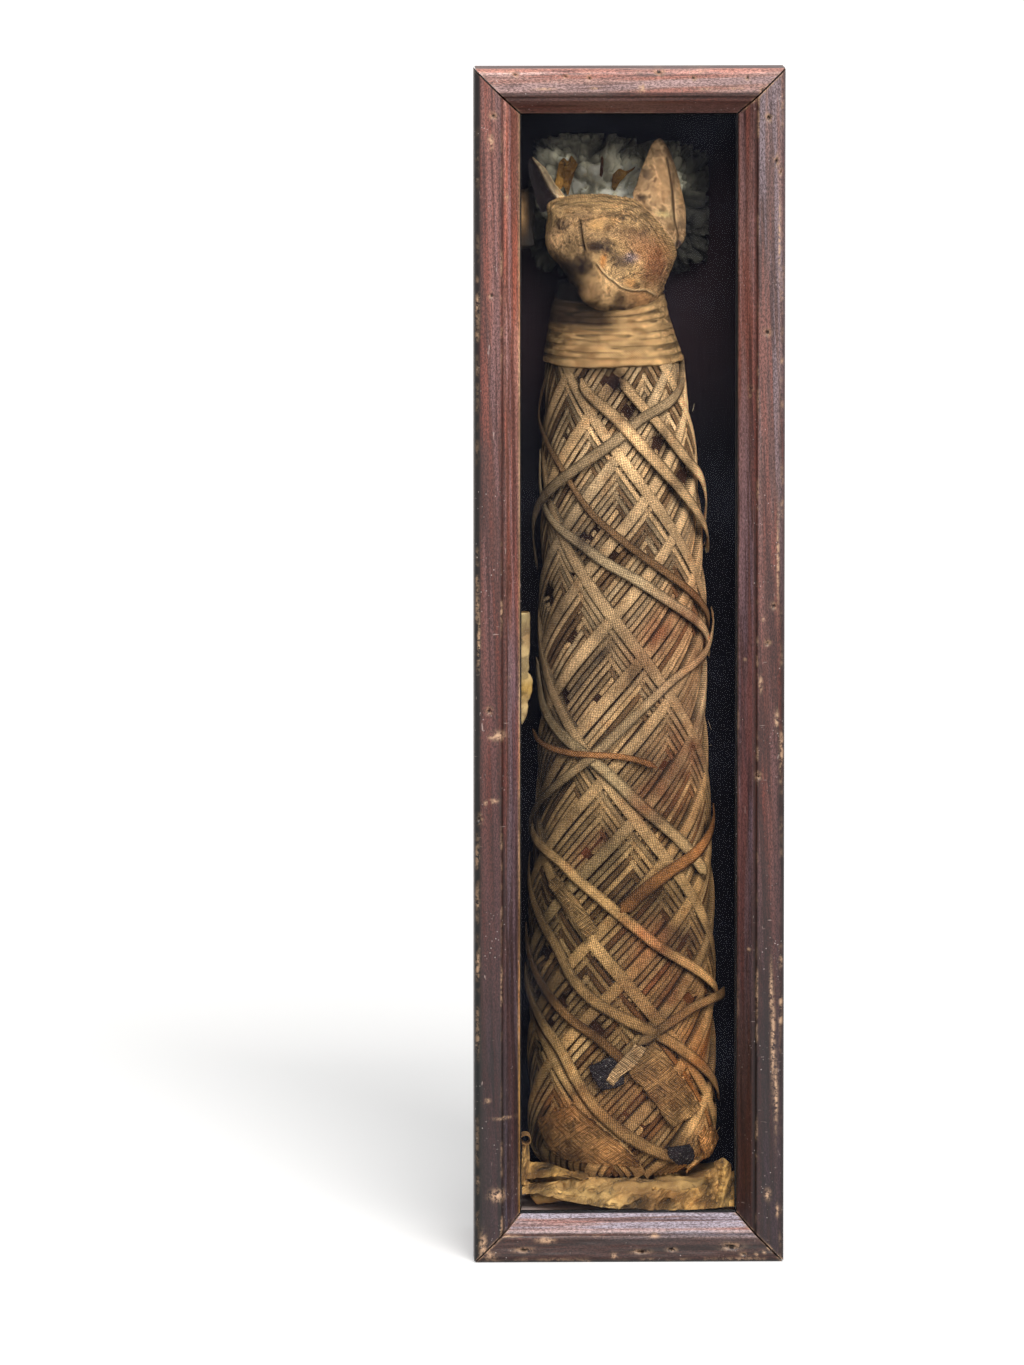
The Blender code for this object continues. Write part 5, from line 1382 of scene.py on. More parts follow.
def head():
    """The modelled head: its outline in front view, swelled forward to a face with its muzzle."""
    around = 420
    outline = np.array([from_photo(px, py, HEAD_DEPTH) for px, py in HEAD_OUTLINE])
    cx, cz = from_photo(*HEAD_MIDDLE, HEAD_DEPTH)
    loop, _ = curve_through(np.vstack([outline, outline[:1]]), 0.25 * MM)
    bearing = np.unwrap(np.arctan2(loop[:, 1] - cz, loop[:, 0] - cx))
    reach = np.hypot(loop[:, 1] - cz, loop[:, 0] - cx)
    if bearing[-1] < bearing[0]:
        bearing = bearing[::-1]
        reach = reach[::-1]
    turn = np.linspace(0, 2 * math.pi, around, endpoint=False)
    outer = np.interp((turn - bearing[0]) % (2 * math.pi) + bearing[0], bearing, reach)
    front = np.linspace(0.004, 1, 150) * math.pi / 2
    back = math.pi / 2 + np.linspace(0, 1, 46)[1:] * math.pi / 2 * 0.995
    theta = np.r_[front, back][:, None]
    share = np.sin(theta) ** 0.92
    x = cx + outer[None, :] * np.cos(turn)[None, :] * share
    z = cz + outer[None, :] * np.sin(turn)[None, :] * share
    deep = np.where(theta < math.pi / 2, FACE_DEEP, NAPE_DEEP)
    y = FRONT + HEAD_DEPTH - deep * np.sign(np.cos(theta)) * np.abs(np.cos(theta)) ** 0.85 + 0 * x
    fore = np.clip(np.cos(theta) * 2.2, 0, 1) + 0 * x
    pixel = to_photo(x, z, y - FRONT)
    forward = np.zeros(x.shape)
    for px, py, wide, high, tilted, height in FACE_LUMPS:
        forward += height * MM * np.exp(-fall_off(pixel, px, py, wide, high, tilted))
    y = y - forward * fore
    pixel = to_photo(x, z, y - FRONT)
    tint, relief = head_skin(pixel, np.broadcast_to(theta, x.shape) < math.pi / 2)
    out = stacked(x - cx, (y - FRONT - HEAD_DEPTH) * 1.1, z - cz)
    out /= np.linalg.norm(out, axis=-1)[..., None]
    points = np.stack([x, y, z], -1)
    rough = noise(points, 7 * MM, 21, 3) * 0.45 * MM + noise(points, 1.3 * MM, 22, 2) * 0.20 * MM
    points = points + out * (relief + rough)[..., None]
    points[..., 2] = np.maximum(points[..., 2], HEAD_LOWEST)
    pile = Pile()
    pile.add(points, closed=True, caps=True, tint=tint, weave=stacked(x + 0.3 * z, z - 0.3 * x, 0))
    body = pile.make("modelled_head", HEAD_CLOTH, slot="linen", replaces=("head",))


def fall_off(pixel, px, py, wide, high, tilted=0.0):
    """The square of how far photo places lie from a middle, in shares of a turned oval's reach."""
    u, v = turned(pixel[0] - px, pixel[1] - py, tilted)
    return (u / wide) ** 2 + (v / high) ** 2


def head_skin(pixel, front):
    """Tint and relief of the head: wound crown turns, eyes, the slit, the flap at the chin and stains, with
    painted shade and highlights at the turns, the slit and the flap, and painted shadow among the stains.
    """
    px, py = pixel
    flat = stacked(px, py, 0)
    relief = np.zeros(px.shape)
    speckle = 0.26 * noise(flat, 6, 33, 3) + 0.18 * noise(flat, 2.2, 34, 2)
    tint = np.array(rgb(201, 162, 110)) * (1 + speckle)[..., None]
    for number, (sx, sy, wide, high, tilted, colour, strength) in enumerate(HEAD_STAINS):
        near = np.exp(-fall_off(pixel, sx, sy, wide, high, tilted) ** 1.4)
        ragged = np.clip(1 + 0.45 * noise(flat, 3.2, 100 + number, 3), 0.1, 1.5)
        lift = 1.35 if sum(colour) > 200 else 1.0
        tint = blend(tint, np.array(rgb(*colour)) * lift, np.clip(near * ragged, 0, 1) * strength * front)
    mottle = np.clip(noise(flat, 1.3, 35, 3) * 2.4 - 0.42 + 1.1 * noise(flat, 8, 36, 3), 0, 0.8)
    near_muzzle = 0.5 * np.exp(-fall_off(pixel, *MUZZLE))
    near_temple = 0.4 * np.exp(-fall_off(pixel, *TEMPLE))
    tint = blend(tint, rgb(44, 30, 28), mottle * np.clip(0.62 + near_muzzle + near_temple, 0, 0.9) * front)
    away, _ = line_distance(px, py, HEAD_OUTLINE + HEAD_OUTLINE[:1])
    crown = np.clip((CROWN_FOOT - py) / 20, 0, 1) * np.clip((px - CROWN_COLUMNS[0]) / 12, 0.2, 1) * front
    for number, offset in enumerate(CROWN_TURNS):
        spread = 1.0 + 0.25 * number * np.clip((CROWN_COLUMNS[1] - px) / 60, -0.3, 1)
        inward = away - offset * spread - 0.7 * noise(flat, 14, 50 + number, 2)
        relief += crown * 0.32 * MM * (ramp(-inward, 0.35) - 0.5)
        # Painted shade in the gap under each turn's edge, and a painted highlight along the edge
        gap = hump(inward, 0.5, 0.55) * crown * np.clip(0.75 + noise(flat, 9, 60 + number, 2), 0, 1)
        tint = blend(tint, rgb(30, 22, 20), 0.7 * gap)
        tint = blend(tint, rgb(190, 150, 100), hump(inward, -0.7, 0.7) * crown * 0.3)
    for sx, sy, wide, high, rings in EYES:
        radius = np.sqrt(fall_off(pixel, sx, sy, wide, high, 6)) * (1 + 0.10 * noise(flat, 6, 44, 2))
        within = np.clip(3 * np.clip(1.25 - radius, 0, 1) * front, 0, 1)
        wave = np.sin(radius * math.pi * 2 * rings)
        relief += 0.22 * MM * wave * within
        tint = blend(tint, rgb(52, 40, 38), np.clip(-wave - 0.35, 0, 1) * within * 0.75)
    away, _ = line_distance(px, py, SLIT_LINE)
    cut = hump(away, 0, 1.3) * front
    relief += 0.5 * MM * hump(away, 3.0, 1.8) * front - 2.6 * MM * cut
    # Painted shade: near black inside the slit
    tint = blend(tint, rgb(12, 8, 10), cut)
    away, side = line_distance(px, py, CHIN_FLAP)
    within = np.clip((px - CHIN_COLUMNS[0]) / 5, 0, 1) * np.clip((CHIN_COLUMNS[1] - px) / 6, 0, 1)
    over = ramp(side * away, 0.35) * within * front
    relief += 0.5 * MM * over * np.clip(1.4 - away / 26, 0, 1)
    # Painted shadow under the flap's edge, and a painted highlight along its lit edge
    tint = blend(tint, rgb(46, 30, 24), hump(away, 0.9, 1.5) * (side < 0) * front * 0.8)
    tint = blend(tint, rgb(226, 190, 138), hump(away, 0.8, 1.0) * (side > 0) * front * 0.95)
    return np.clip(tint, 0.002, 1), relief


# Ears: rows from base to tip, each the left edge, a middle place and the right edge, as photo pixels
# and depths in millimetres behind the frame's face
RIGHT_EAR = (
    ((640, 215, 52), (660, 230, 48), (676, 248, 60)), ((635, 203, 54), (660, 215, 48), (684, 238, 60)),
    ((632, 193, 56), (660, 200, 49), (685, 222, 61)), ((636, 183, 57), (662, 186, 50), (684.5, 206, 62)),
    ((640, 170, 58), (662, 172, 52), (681, 190, 62)), ((645, 158, 59), (662, 158, 54), (677, 173, 62)),
    ((649, 148, 60), (662, 147, 56), (671, 156, 62)), ((653, 141, 60), (660, 140, 58), (666, 145, 61)),
    ((657, 138, 60), (659, 137.5, 59.5), (661, 138.5, 60)),
)
LEFT_EAR = (
    ((540, 212, 52), (556, 206, 60), (567, 199, 60)), ((536, 202, 50), (549, 197, 62), (561, 191, 59)),
    ((533, 192, 48), (543, 188, 62), (555, 184, 57)), ((530, 182, 47), (538, 178, 61), (550, 176, 55)),
    ((528, 173, 47), (535, 170, 58), (544, 167, 53)), ((527, 165, 48), (532, 163, 55), (537, 161, 51)),
    ((528, 159, 49), (530, 157.5, 52), (532, 156.5, 50)),
)


EAR_THICK = 1.3 * MM
EAR_FOLD = ((666, 158), (670, 180), (672.5, 200), (674, 222), (678, 235), (676, 246))
# Stains on the ears, in rows like the head's
RIGHT_EAR_STAINS = (
    (646, 173, 5, 7, 0, (52, 44, 50), 0.8), (641, 197, 5, 4, 0, (20, 16, 24), 0.95),
    (668, 150, 6, 12, 0, (60, 46, 48), 0.7), (660, 180, 9, 24, 0, (186, 138, 92), 0.5),
    (650, 160, 5, 10, 0, (236, 192, 138), 0.6), (664, 214, 9, 3.0, 10, (236, 214, 150), 0.9),
    (661, 210, 5, 2.0, -30, (40, 30, 20), 0.7), (670, 226, 6, 4, 30, (118, 92, 60), 0.6),
    (678, 243, 4, 5, 0, (36, 36, 56), 0.9), (681, 200, 3.5, 26, -6, (222, 172, 118), 0.6),
    (663, 137, 9, 6, 0, (34, 28, 40), 0.8), (672, 190, 2.0, 30, 0, (30, 22, 22), 0.6),
    (656, 152, 5, 6, 0, (80, 60, 52), 0.6), (648, 186, 6, 4, 0, (84, 60, 44), 0.6),
    (655, 200, 5, 5, 0, (92, 66, 46), 0.5), (676, 172, 4, 8, 0, (90, 66, 50), 0.5),
    (680, 222, 5, 6, 0, (84, 60, 46), 0.6), (644, 208, 8, 3, 0, (50, 36, 32), 0.6),
)
LEFT_EAR_STAINS = ((563, 204, 5, 3, 0, (60, 42, 30), 0.6),)


def ear(node, table, front, back, stains, slot, fold=None, edge=None):
    """A cupped ear of stiff cloth: front and back skins on one grid, with a fold or a pale right edge that is
    a painted highlight.
    """
    grid = spline(table, np.linspace(0, len(table) - 1, 90))
    s = np.linspace(0, 1, 61)[None, :, None]
    left = grid[:, None, 0]
    middle = grid[:, None, 1]
    right = grid[:, None, 2]
    face = left * (1 - s) * (1 - 2 * s) + middle * 4 * s * (1 - s) + right * s * (2 * s - 1)
    px = face[..., 0]
    py = face[..., 1]
    depth = face[..., 2] * MM
    x, z = from_photo(px, py, depth)
    flat = stacked(px, py, 0)
    rough = noise(flat, 12, 5, 3) * 0.9 * MM + noise(flat, 3, 6, 2) * 0.25 * MM
    points = stacked(x, FRONT + depth + rough, z)
    tint = np.array(rgb(*front)) * (1 + 0.2 * noise(flat, 5, 7, 3))[..., None]
    if edge:
        # Painted highlight along the pale right edge
        painted_rim_light = 1.15 * (1 + 0.3 * noise(flat, 2.5, 9, 2))[..., None] * rgb(*edge)
        tint = blend(tint, painted_rim_light, ramp(s[..., 0] - 0.77, 0.025))
    for sx, sy, wide, high, tilted, colour, strength in stains:
        near = np.exp(-fall_off((px, py), sx, sy, wide, high, tilted) ** 1.4)
        near = np.clip(near * (1 + 0.4 * noise(flat, 3, 8, 3)), 0, 1)
        tint = blend(tint, rgb(*colour), near * strength)
    if fold:
        away, _ = line_distance(px, py, fold)
        crease = hump(away, 0, 0.9)
        points[..., 1] += 2.2 * MM * crease
        # Painted shade: near black along the crease
        tint = blend(tint, rgb(16, 12, 14), 0.9 * crease)
        grain = np.clip(noise(flat, 1.6, 14, 2) * 2.6 - 0.35 + 0.5 * noise(flat, 9, 15, 2), 0, 0.75)
        tint = blend(tint, rgb(92, 62, 44), grain)
    section = section_of(points, points + [0, EAR_THICK, 0])
    back_tint = np.broadcast_to(rgb(*back), points.shape)
    pile = Pile()
    pile.add(section, closed=True, caps=True, flip=True, tint=np.concatenate([tint, back_tint], 1),
             weave=stacked(section[..., 0], section[..., 2], 0))
    pile.make(node + "_cloth", HEAD_CLOTH, slot=slot, replaces=(node,))


def ears():
    """The right ear with its long fold, and the left one, painted near black within as shade, with a pale
    edge painted as light.
    """
    tan, brown, black, pale = (214, 174, 126), (150, 108, 72), (22, 14, 17), (255, 228, 184)
    ear("right_ear", RIGHT_EAR, tan, brown, RIGHT_EAR_STAINS, "linen", fold=EAR_FOLD)
    # The left ear's front is painted near black as shade
    ear("left_ear", LEFT_EAR, black, (120, 88, 58), LEFT_EAR_STAINS, "dark_linen", edge=pale)


# Packing

PACKING_FRONT = FRONT + 16.1 * MM       # as near the glass as a sheet of paper may come


def facets(points, size, seed):
    """Crumpled relief from -1 to 1: flat facets that meet in sharp creases."""
    p = np.asarray(points, float) / size + 60.5
    p = p + 0.35 * np.stack([noise(points, size * 1.7, seed + k) for k in (1, 2, 3)], -1)
    cell = np.floor(p).astype(np.int64)
    f = p - cell
    order = np.argsort(-f, axis=-1)
    weight = np.take_along_axis(f, order, -1)
    bounds = np.concatenate([np.ones(f.shape[:-1] + (1,)), weight, np.zeros(f.shape[:-1] + (1,))], -1)
    value = 0.0
    corner = cell.copy()
    for k in range(4):
        share = bounds[..., k] - bounds[..., k + 1]
        value = value + share * hashed(corner[..., 0], corner[..., 1], corner[..., 2], seed)
        if k < 3:
            step = np.zeros_like(corner)
            np.put_along_axis(step, order[..., k:k + 1], 1, -1)
            corner = corner + step
    return value


def wad(name, low, high, finish, slot, replaces, size, depth, seed, tint=(1, 1, 1), fine=150, shaded=False):
    """A crumpled ball that fills a box between two corners in millimetres.

    Paper crumples in facets of a size and depth in millimetres, and wadding, which gets painted shade, in
    soft lumps.
    """
    low = np.array(low) * MM
    high = np.array(high) * MM
    middle = (low + high) / 2
    half = (high - low) / 2
    turn = np.linspace(0, 2 * math.pi, fine, endpoint=False)[None, :]
    tilt = (np.linspace(-0.5, 0.5, fine // 2) * math.pi * 0.998)[:, None]
    way = stacked(np.cos(tilt) * np.cos(turn), np.cos(tilt) * np.sin(turn), np.sin(tilt))
    block = 0.42 * way + 0.58 * way / np.abs(way).max(-1)[..., None]
    points = middle + half * block
    if not shaded:
        dent = facets(points, size * MM, seed) + 0.45 * facets(points, size * 0.45 * MM, seed + 9)
        dent = dent + 0.15 * facets(points, size * 0.2 * MM, seed + 21)
    else:
        dent = np.clip(np.abs(noise(points, size * MM, seed)) * 3.0, 0, 1)
        dent = dent * np.clip(0.30 + np.abs(noise(points, size * 0.45 * MM, seed + 9)) * 3.4, 0, 1)
        dent = dent + 0.22 * noise(points, 1.8 * MM, seed + 2, 3)
    points = points - way * ((0.9 - dent) * 0.5 * depth * MM)[..., None]
    points = np.clip(points, low, high)
    # Painted shade: darker where the surface is dented deeper
    uneven = 1 + 0.2 * noise(points, 7 * MM, seed + 5, 3) + 0.3 * (dent - 0.3)
    if shaded:
        # Wadding: painted shade at its sides and top and behind the head, and darker in the creases between
        # its lumps
        uneven = uneven * painted_shade(points) * (0.40 + 1.35 * np.clip(dent, 0, 1))
    colour = (tint(points) if callable(tint) else np.array(tint)) * uneven[..., None]
    pile = Pile()
    pile.add(points, closed=True, caps=True, tint=np.clip(colour, 0.02, 1.6))
    pile.make(name, finish, slot=slot, replaces=replaces)


def painted_shade(points):
    """Painted shade on the wadding: grey between the ears, near black at the sides, the top and behind the
    head.
    """
    x = points[..., 0] / MM
    z = points[..., 2] / MM
    rough = 3 * noise(points, 10 * MM, 71, 3)
    sides = np.clip((x + 44 + rough) / 14, 0, 1) * np.clip((38 - x + rough) / 18, 0, 1)
    rise = np.clip((z - 496 + rough) / 8, 0, 1) * np.clip((536 - z + 2 * rough) / 18, 0.10, 1)
    beside = np.maximum(np.clip((24 - x + rough) / 8, 0, 1), np.clip((z - 508 + rough) / 10, 0.08, 1))
    return 0.02 + 0.98 * sides * rise * beside


def sheet(pile, lower, upper, seed, size=5.0, depth=1.6, tint=(1.0, 1.0, 1.0)):
    """A crumpled sheet between two edges given as photo pixels with depths in millimetres."""
    thick = 0.35 * MM
    low, _ = curve_through(lower, 0.5)
    high = spline(upper, np.linspace(0, len(upper) - 1, len(low)))
    up = np.linspace(0, 1, 70)[None, :, None]
    place = low[:, None] * (1 - up) + high[:, None] * up
    behind_face = place[..., 2] * MM
    x, z = from_photo(place[..., 0], place[..., 1], behind_face)
    points = stacked(x, FRONT + behind_face, z)
    crease = facets(points, size * MM, seed) + 0.55 * facets(points, size * 0.4 * MM, seed + 3)
    points[..., 1] += 2.6 * depth * MM * crease
    buckle = facets(points, size * 0.8 * MM, seed + 7) * np.sin(math.pi * up[..., 0])
    points[..., 2] += 0.8 * depth * MM * buckle
    points[..., 1] = np.maximum(points[..., 1], PACKING_FRONT)
    section = section_of(points, points + [0, thick, thick * 0.4])
    # Painted light and shade: darker where the sheet lies deeper and along crease lines, with crisp light and
    # dark facets
    fold = section_of(crease, crease)
    lines = 0.6 * hump(facets(section, 4.2 * MM, seed + 31), 0, 0.05) + 0.38 * hump(fold, 0, 0.06)
    lines = np.clip(lines + 0.3 * hump(facets(section, 1.9 * MM, seed + 41), 0, 0.05), 0, 0.85)
    shade = np.clip(1 + 0.25 * noise(section, 6 * MM, seed + 5, 3) - 0.8 * fold, 0.15, 1.6) * (1 - lines)
    shade = shade * (1.12 + 0.30 * np.tanh(9 * facets(section, 6.5 * MM, seed + 51))) * 0.86
    tint = np.array(tint) * [1.0, 1.02, 1.04] * shade[..., None]
    pile.add(section, closed=True, caps=True, flip=True, tint=tint)


# The roll at the left, from its top down: photo row, radius in millimetres
ROLL = (
    (611, 3.9), (613, 4.1), (625, 4.0), (640, 3.7), (655, 3.8), (666, 3.6), (671, 2.9), (674, 3.9),
    (680, 5.0), (688, 5.3), (696, 4.6), (701, 3.2), (706, 3.6), (712, 3.0), (718, 1.8), (723, 0.5),
)
ROLL_COLUMN = 520.5             # photo column of its middle
ROLL_BEHIND = 29.5 * MM
KNOB_ROW = 687                  # photo row of the crushed curl, which is browner


def paper_roll():
    """The rolled sheet wedged at the left: an open tube, a pinched curl under it and a pointed end."""
    turn = np.linspace(0, 2 * math.pi, 90, endpoint=False)
    path, _ = curve_through([(py, radius, 0) for py, radius in ROLL], 0.35)
    py = path[:, :1]
    cx, z = from_photo(ROLL_COLUMN, py, BEHIND)
    cy = FRONT + ROLL_BEHIND
    unit = stacked(np.cos(turn), np.sin(turn), z / (9 * MM))
    radius = path[:, 1:2] * MM * (1 + 0.16 * facets(unit, 0.8, 3) + 0.09 * facets(unit, 0.3, 5))
    points = stacked(cx + radius * np.cos(turn), cy + radius * np.sin(turn), z)
    knob = hump(py, KNOB_ROW, 12)
    colour = stacked(1.38 - 0.50 * knob, 1.66 - 0.78 * knob, 2.2 - 1.6 * knob)
    # Painted light and shade: crisp light and dark facets
    creased = 0.86 + 0.26 * np.tanh(9 * facets(points, 5.0 * MM, 91))
    pile = Pile()
    pile.add(points, closed=True, flip=True, tint=colour * creased[..., None])
    # Painted shade inside the open tube
    inside = points[:40].copy()
    inside[..., :2] = (cx, cy) + (inside[..., :2] - (cx, cy)) * 0.86
    pile.add(inside, closed=True, tint=np.array([0.55, 0.5, 0.42]))
    rim = np.stack([points[0], inside[0]], 0)
    pile.add(rim, closed=True, tint=np.array([1.1, 1.05, 0.9]))
    pile.make("paper_roll", YELLOW_PAPER, slot="old_paper", replaces=("side_paper_roll",))


def rag_painted_light(points):
    """The rag at the far left: tan half way up as a painted pool of light, and near black at its ends and its
    inner edge as painted shade.
    """
    x = points[..., 0] / MM
    z = points[..., 2] / MM
    lit = hump(z, 505, 9) * np.clip((-46.2 - x) / 5.5, 0.01, 1)
    lit = 0.03 + 1.9 * lit * (1 + 0.5 * noise(points, 4 * MM, 12, 3))
    return np.array([0.90, 0.82, 0.96]) * lit[..., None]


# Crumpled sheets: seed, size and depth of the creases, tint, then the lower and the upper edge as photo
# pixels with depths in millimetres
SCRAPS = (
    (61, 5.0, 0.8, (1.0, 0.84, 0.56),
     ((554, 181, 91), (557, 188, 90), (563, 184, 89), (567, 192, 89), (570, 182, 90)),
     ((558, 160, 91), (563, 155, 90), (567, 158, 90), (571, 153, 90), (577, 161, 91))),
    (62, 4.0, 0.8, (0.72, 0.64, 0.36),
     ((611, 184, 90), (614, 188, 90), (617, 183, 89), (621, 176, 90)),
     ((612, 172, 91), (619, 166, 90), (626, 168, 90), (637, 163, 91))),
    (63, 5.0, 0.3, (0.34, 0.18, 0.10),
     ((599, 172, 91), (601, 174, 90), (602.5, 170, 91)),
     ((600.5, 155, 91), (601.5, 153, 91), (603, 156, 91))),
)
FLOOR_SHEETS = (
    (5, 7.0, 2.0, (1.0, 1.0, 1.0),
     ((521, 1195, 24), (545, 1197, 21), (568, 1202, 19), (590, 1206, 18.5), (613, 1210, 18), (640, 1211, 18),
      (672, 1211, 18), (700, 1211, 19)),
     ((521, 1181, 36), (537, 1185, 32), (560, 1181, 34), (584, 1178, 36), (613, 1180, 36), (640, 1181, 36),
      (668, 1184, 36), (700, 1186, 36))),
    (15, 6.0, 1.6, (0.84, 0.78, 0.64),
     ((522, 1181, 30), (540, 1179, 28), (556, 1177, 28), (572, 1180, 28), (588, 1181, 30)),
     ((521, 1163, 36), (536, 1164, 38), (552, 1167, 38), (570, 1172, 38), (588, 1176, 38))),
    (25, 6.0, 1.8, (1.08, 1.02, 0.88),
     ((655, 1211, 17.8), (680, 1211, 17.8), (705, 1210, 18), (722, 1209, 19), (735, 1208, 20)),
     ((652, 1188, 30), (676, 1192, 28), (700, 1188, 30), (718, 1180, 30), (735, 1172, 30))),
)
RIGHT_SHEETS = (
    (35, 5.0, 1.3, (1.1, 1.04, 0.86),
     ((716, 1209, 22), (721, 1209, 20), (726, 1209, 20), (733, 1208, 22)),
     ((714, 1164, 30), (719, 1161, 27), (724, 1160, 26), (731, 1166, 28))),
    (36, 5.0, 1.2, (1.0, 0.95, 0.85),
     ((706, 1200, 26), (712, 1203, 24), (718, 1204, 24)),
     ((704, 1174, 30), (711, 1170, 28), (718, 1168, 28))),
)
LEFT_SHEETS = (
    (45, 5.0, 1.0, (0.95, 0.9, 0.82),
     ((520, 1186, 21), (525, 1187, 28), (530, 1186, 36)),
     ((521.5, 1144, 22), (525, 1145, 28), (528, 1144, 34))),
)
CURL_MIDDLE = (524.5, 1139)     # photo pixel of the curl at the left


def sheets(rows):
    """A pile of crumpled sheets from their rows."""
    pile = Pile()
    for seed, size, depth, tint, lower, upper in rows:
        sheet(pile, lower, upper, seed, size, depth, tint)
    return pile


def curl():
    """The curled top of the sheet at the left, a ring that isn't closed."""
    x, z = from_photo(*CURL_MIDDLE, BEHIND)
    turn = np.linspace(-2.6, 3.4, 60)
    radius = (2.6 + 0.12 * turn) * MM
    y = np.linspace(22, 34, 24)[:, None] * MM + FRONT
    skins = [stacked(x + r * np.cos(turn), y, z + r * np.sin(turn)) for r in (radius, radius - 0.4 * MM)]
    return section_of(*skins)


# Above 1: the wadding painted lighter than its own grey, as painted light in the shade it lies in
WADDING_TINT = (1.24, 1.20, 1.06)


def packing():
    """Grey wadding and scraps behind the head, and yellow newspaper at the foot and at the sides."""
    wad("grey_wadding_left", (-46, 32, 471), (10, 50.8, 540.5), GREY_PAPER, "grey_paper",
        ("head_packing_left",), size=8, depth=14, seed=3, tint=WADDING_TINT, fine=300, shaded=True)
    wad("grey_wadding_right", (1, 33, 471.5), (42, 50.8, 537), GREY_PAPER, "grey_paper",
        ("head_packing_right",), size=7, depth=14, seed=17, tint=WADDING_TINT, fine=280, shaded=True)
    sheets(SCRAPS).make("torn_scraps", YELLOW_PAPER, slot="old_paper")
    wad("left_rag", (-54.8, 8, 484), (-41.0, 24, 520), YELLOW_PAPER, "old_paper",
        (), size=22, depth=6, seed=83, tint=rag_painted_light, fine=120)
    wad("floor_newspaper", (-52, -34, 21.4), (53.5, 48.6, 36.8), YELLOW_PAPER, "old_paper", ("floor_wad",),
        size=9, depth=6, seed=29, fine=260)
    sheets(FLOOR_SHEETS).make("newspaper_sheets", YELLOW_PAPER, slot="old_paper")
    pile = sheets(RIGHT_SHEETS)
    pile.make("newspaper_fold_right", YELLOW_PAPER, slot="old_paper", replaces=("side_wad_right",))
    pile = sheets(LEFT_SHEETS)
    pile.add(curl(), closed=True, caps=True, tint=np.array([1.0, 0.95, 0.85]))
    pile.make("newspaper_curl_left", YELLOW_PAPER, slot="old_paper", replaces=("side_wad_left",))
    paper_roll()


# Light, floor and camera

VIEW_TALL = 1361.0              # height of the view in photo pixels at the frame's face
MIDDLE_AT = (629.2, 668.5)      # pixel where the middle of the frame's face is seen
PHOTO_MIDDLE = (512, 682.5)


def make_camera():
    """The view of the photo: from a little above and to the left, far off."""
    distance = 8.0
    data = bpy.data.cameras.new("camera")
    data.lens = distance * 36 / (VIEW_TALL * PX)
    data.sensor_width = 36
    data.clip_end = 50
    camera = bpy.data.objects.new("camera", data)
    bpy.context.scene.collection.objects.link(camera)
    back = Vector((math.sin(SWING) * math.cos(TILT), -math.cos(SWING) * math.cos(TILT), math.sin(TILT)))
    turn = (-back).to_track_quat("-Z", "Y")
    right = turn @ Vector((1, 0, 0))
    up = turn @ Vector((0, 1, 0))
    aim = Vector((0, FRONT, HEIGHT / 2))
    aim = aim - right * (MIDDLE_AT[0] - PHOTO_MIDDLE[0]) * PX - up * (PHOTO_MIDDLE[1] - MIDDLE_AT[1]) * PX
    camera.location = aim + back * distance
    camera.rotation_mode = "QUATERNION"
    camera.rotation_quaternion = turn
    bpy.context.scene.camera = camera


def sun(name, azimuth, elevation, breadth, strength, colour):
    """A far light, turned to the right of the front and up by degrees, with its breadth in degrees."""
    data = bpy.data.lights.new(name, "SUN")
    data.energy = strength
    data.angle = math.radians(breadth)
    data.color = colour
    light = bpy.data.objects.new(name, data)
    bpy.context.scene.collection.objects.link(light)
    a = math.radians(azimuth)
    e = math.radians(elevation)
    away = Vector((math.sin(a) * math.cos(e), -math.cos(a) * math.cos(e), math.sin(e)))
    light.rotation_mode = "QUATERNION"
    light.rotation_quaternion = (-away).to_track_quat("-Z", "Y")


FLOOR_COLOUR = 0.86
FLOOR_GLOW = 0.38
SKY_LOW = 0.06
SKY_HIGH = 0.38


def make_world():
    """Soft light from all round, brighter overhead, and a white background."""
    world = bpy.data.worlds.new("studio")
    bpy.context.scene.world = world
    world.use_nodes = True
    tree = world.node_tree
    path = tree.nodes.new("ShaderNodeLightPath")
    seen = path.outputs["Is Camera Ray"]
    for name in ("Is Transmission Ray", "Is Glossy Ray"):
        either = tree.nodes.new("ShaderNodeMath")
        either.operation = "MAXIMUM"
        tree.links.new(seen, either.inputs[0])
        tree.links.new(path.outputs[name], either.inputs[1])
        seen = either.outputs[0]
    place = tree.nodes.new("ShaderNodeTexCoord")
    parts = tree.nodes.new("ShaderNodeSeparateXYZ")
    tree.links.new(place.outputs["Generated"], parts.inputs[0])
    height = tree.nodes.new("ShaderNodeMapRange")
    tree.links.new(parts.outputs["Z"], height.inputs[0])
    height.inputs[1].default_value = 0.1
    height.inputs[2].default_value = 1.0
    height.inputs[3].default_value = SKY_LOW
    height.inputs[4].default_value = SKY_HIGH
    shine = tree.nodes.new("ShaderNodeMix")
    tree.links.new(seen, shine.inputs[0])
    tree.links.new(height.outputs[0], shine.inputs[2])
    shine.inputs[3].default_value = 1.0
    back = tree.nodes["Background"]
    back.inputs["Color"].default_value = (1, 1, 1, 1)
    tree.links.new(shine.outputs[0], back.inputs["Strength"])


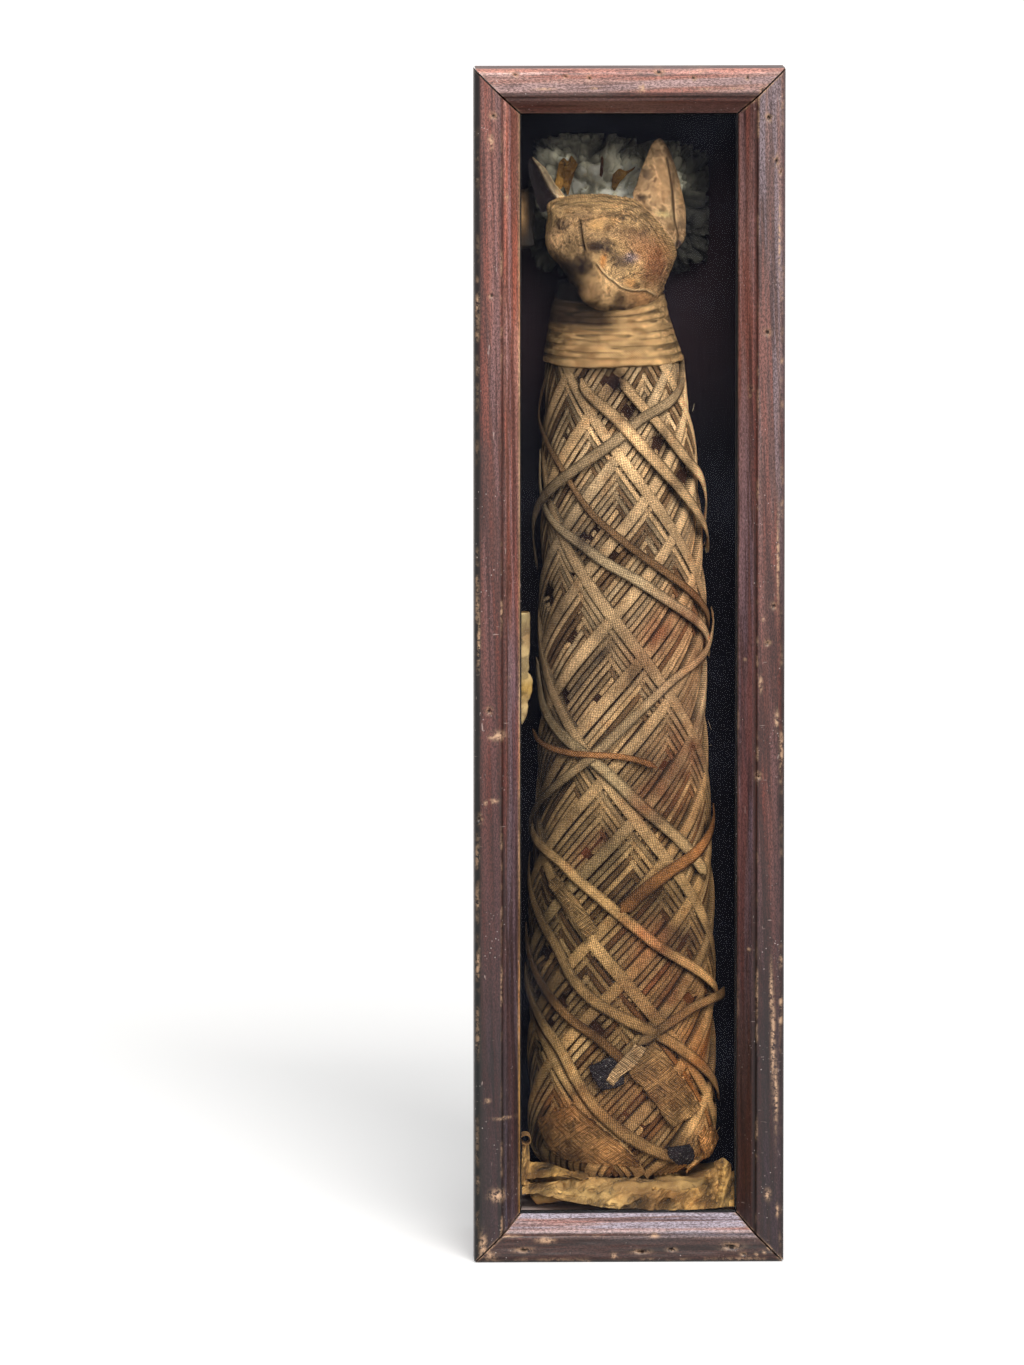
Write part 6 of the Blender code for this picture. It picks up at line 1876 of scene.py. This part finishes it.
def make_floor():
    """A white floor that keeps the shadow: a little glow for the camera takes the rest of it to white."""
    size = 40
    mesh = bpy.data.meshes.new("floor")
    corners = [(-size, -size, 0), (size, -size, 0), (size, size, 0), (-size, size, 0)]
    mesh.from_pydata(corners, [], [(0, 1, 2, 3)])
    floor = bpy.data.objects.new("floor", mesh)
    bpy.context.scene.collection.objects.link(floor)
    g = Graph("white_floor", 0.9)
    g.shader.inputs["Base Color"].default_value = (FLOOR_COLOUR, FLOOR_COLOUR, FLOOR_COLOUR, 1)
    g.shader.inputs["Specular IOR Level"].default_value = 0.0
    g.shader.inputs["Emission Color"].default_value = (1, 1, 1, 1)
    path = g.node("ShaderNodeLightPath")
    seen = g.math("MAXIMUM", path.outputs["Is Glossy Ray"], path.outputs["Is Transmission Ray"])
    seen = g.math("MAXIMUM", path.outputs["Is Camera Ray"], seen)
    g.set(g.shader, "Emission Strength", g.math("MULTIPLY", seen, FLOOR_GLOW))
    mesh.materials.append(g.material)


LINEN = cloth_material("old_linen")
HEAD_CLOTH = cloth_material("head_linen", 0.55, 0.78)
YELLOW_PAPER = paper_material("yellowed_newsprint", rgb(184, 148, 90), rgb(124, 90, 50), rgb(52, 36, 24))
GREY_PAPER = paper_material("grey_wadding", rgb(232, 230, 214), rgb(140, 138, 126), rgb(150, 112, 62))

make_camera()
make_world()
make_floor()
sun("key", 9, 34, 25, 2.85, (1.0, 0.985, 0.96))
sun("front", 7, 14, 30, 0.9, (1.0, 0.985, 0.96))
sun("side", 50, 24, 30, 0.28, (1.0, 0.98, 0.95))
upright, level = dress_frame()
for side in ("left", "right"):
    finish_node(f"glass_bead_{side}", upright)
for side in ("top", "bottom"):
    finish_node(f"glass_bead_{side}", level)
CASE = case_material()
for board in ("left_side", "right_side", "top_board", "floor_board", "back_board"):
    finish_node(f"case_{board}", CASE)
finish_node("glass_pane", glass_material())
IRON = metal_material("old_nails", rgb(70, 62, 58), rgb(60, 34, 22))
BRASS = metal_material("old_brass", rgb(150, 118, 66), rgb(82, 60, 38))
for side in ("left", "right"):
    for k in (1, 2):
        finish_node(f"frame_nail_{side}_{k}", IRON)
    for k in (1, 2, 3):
        finish_node(f"back_screw_{side}_{k}", BRASS)
bundle_core()
COVERED = covering_lines()
wound_strips(True)
wound_strips(False)
loose_strips()
torn_cloths()
threads()
neck_turns()
head()
ears()
packing()

bpy.context.scene.view_settings.view_transform = "Standard"
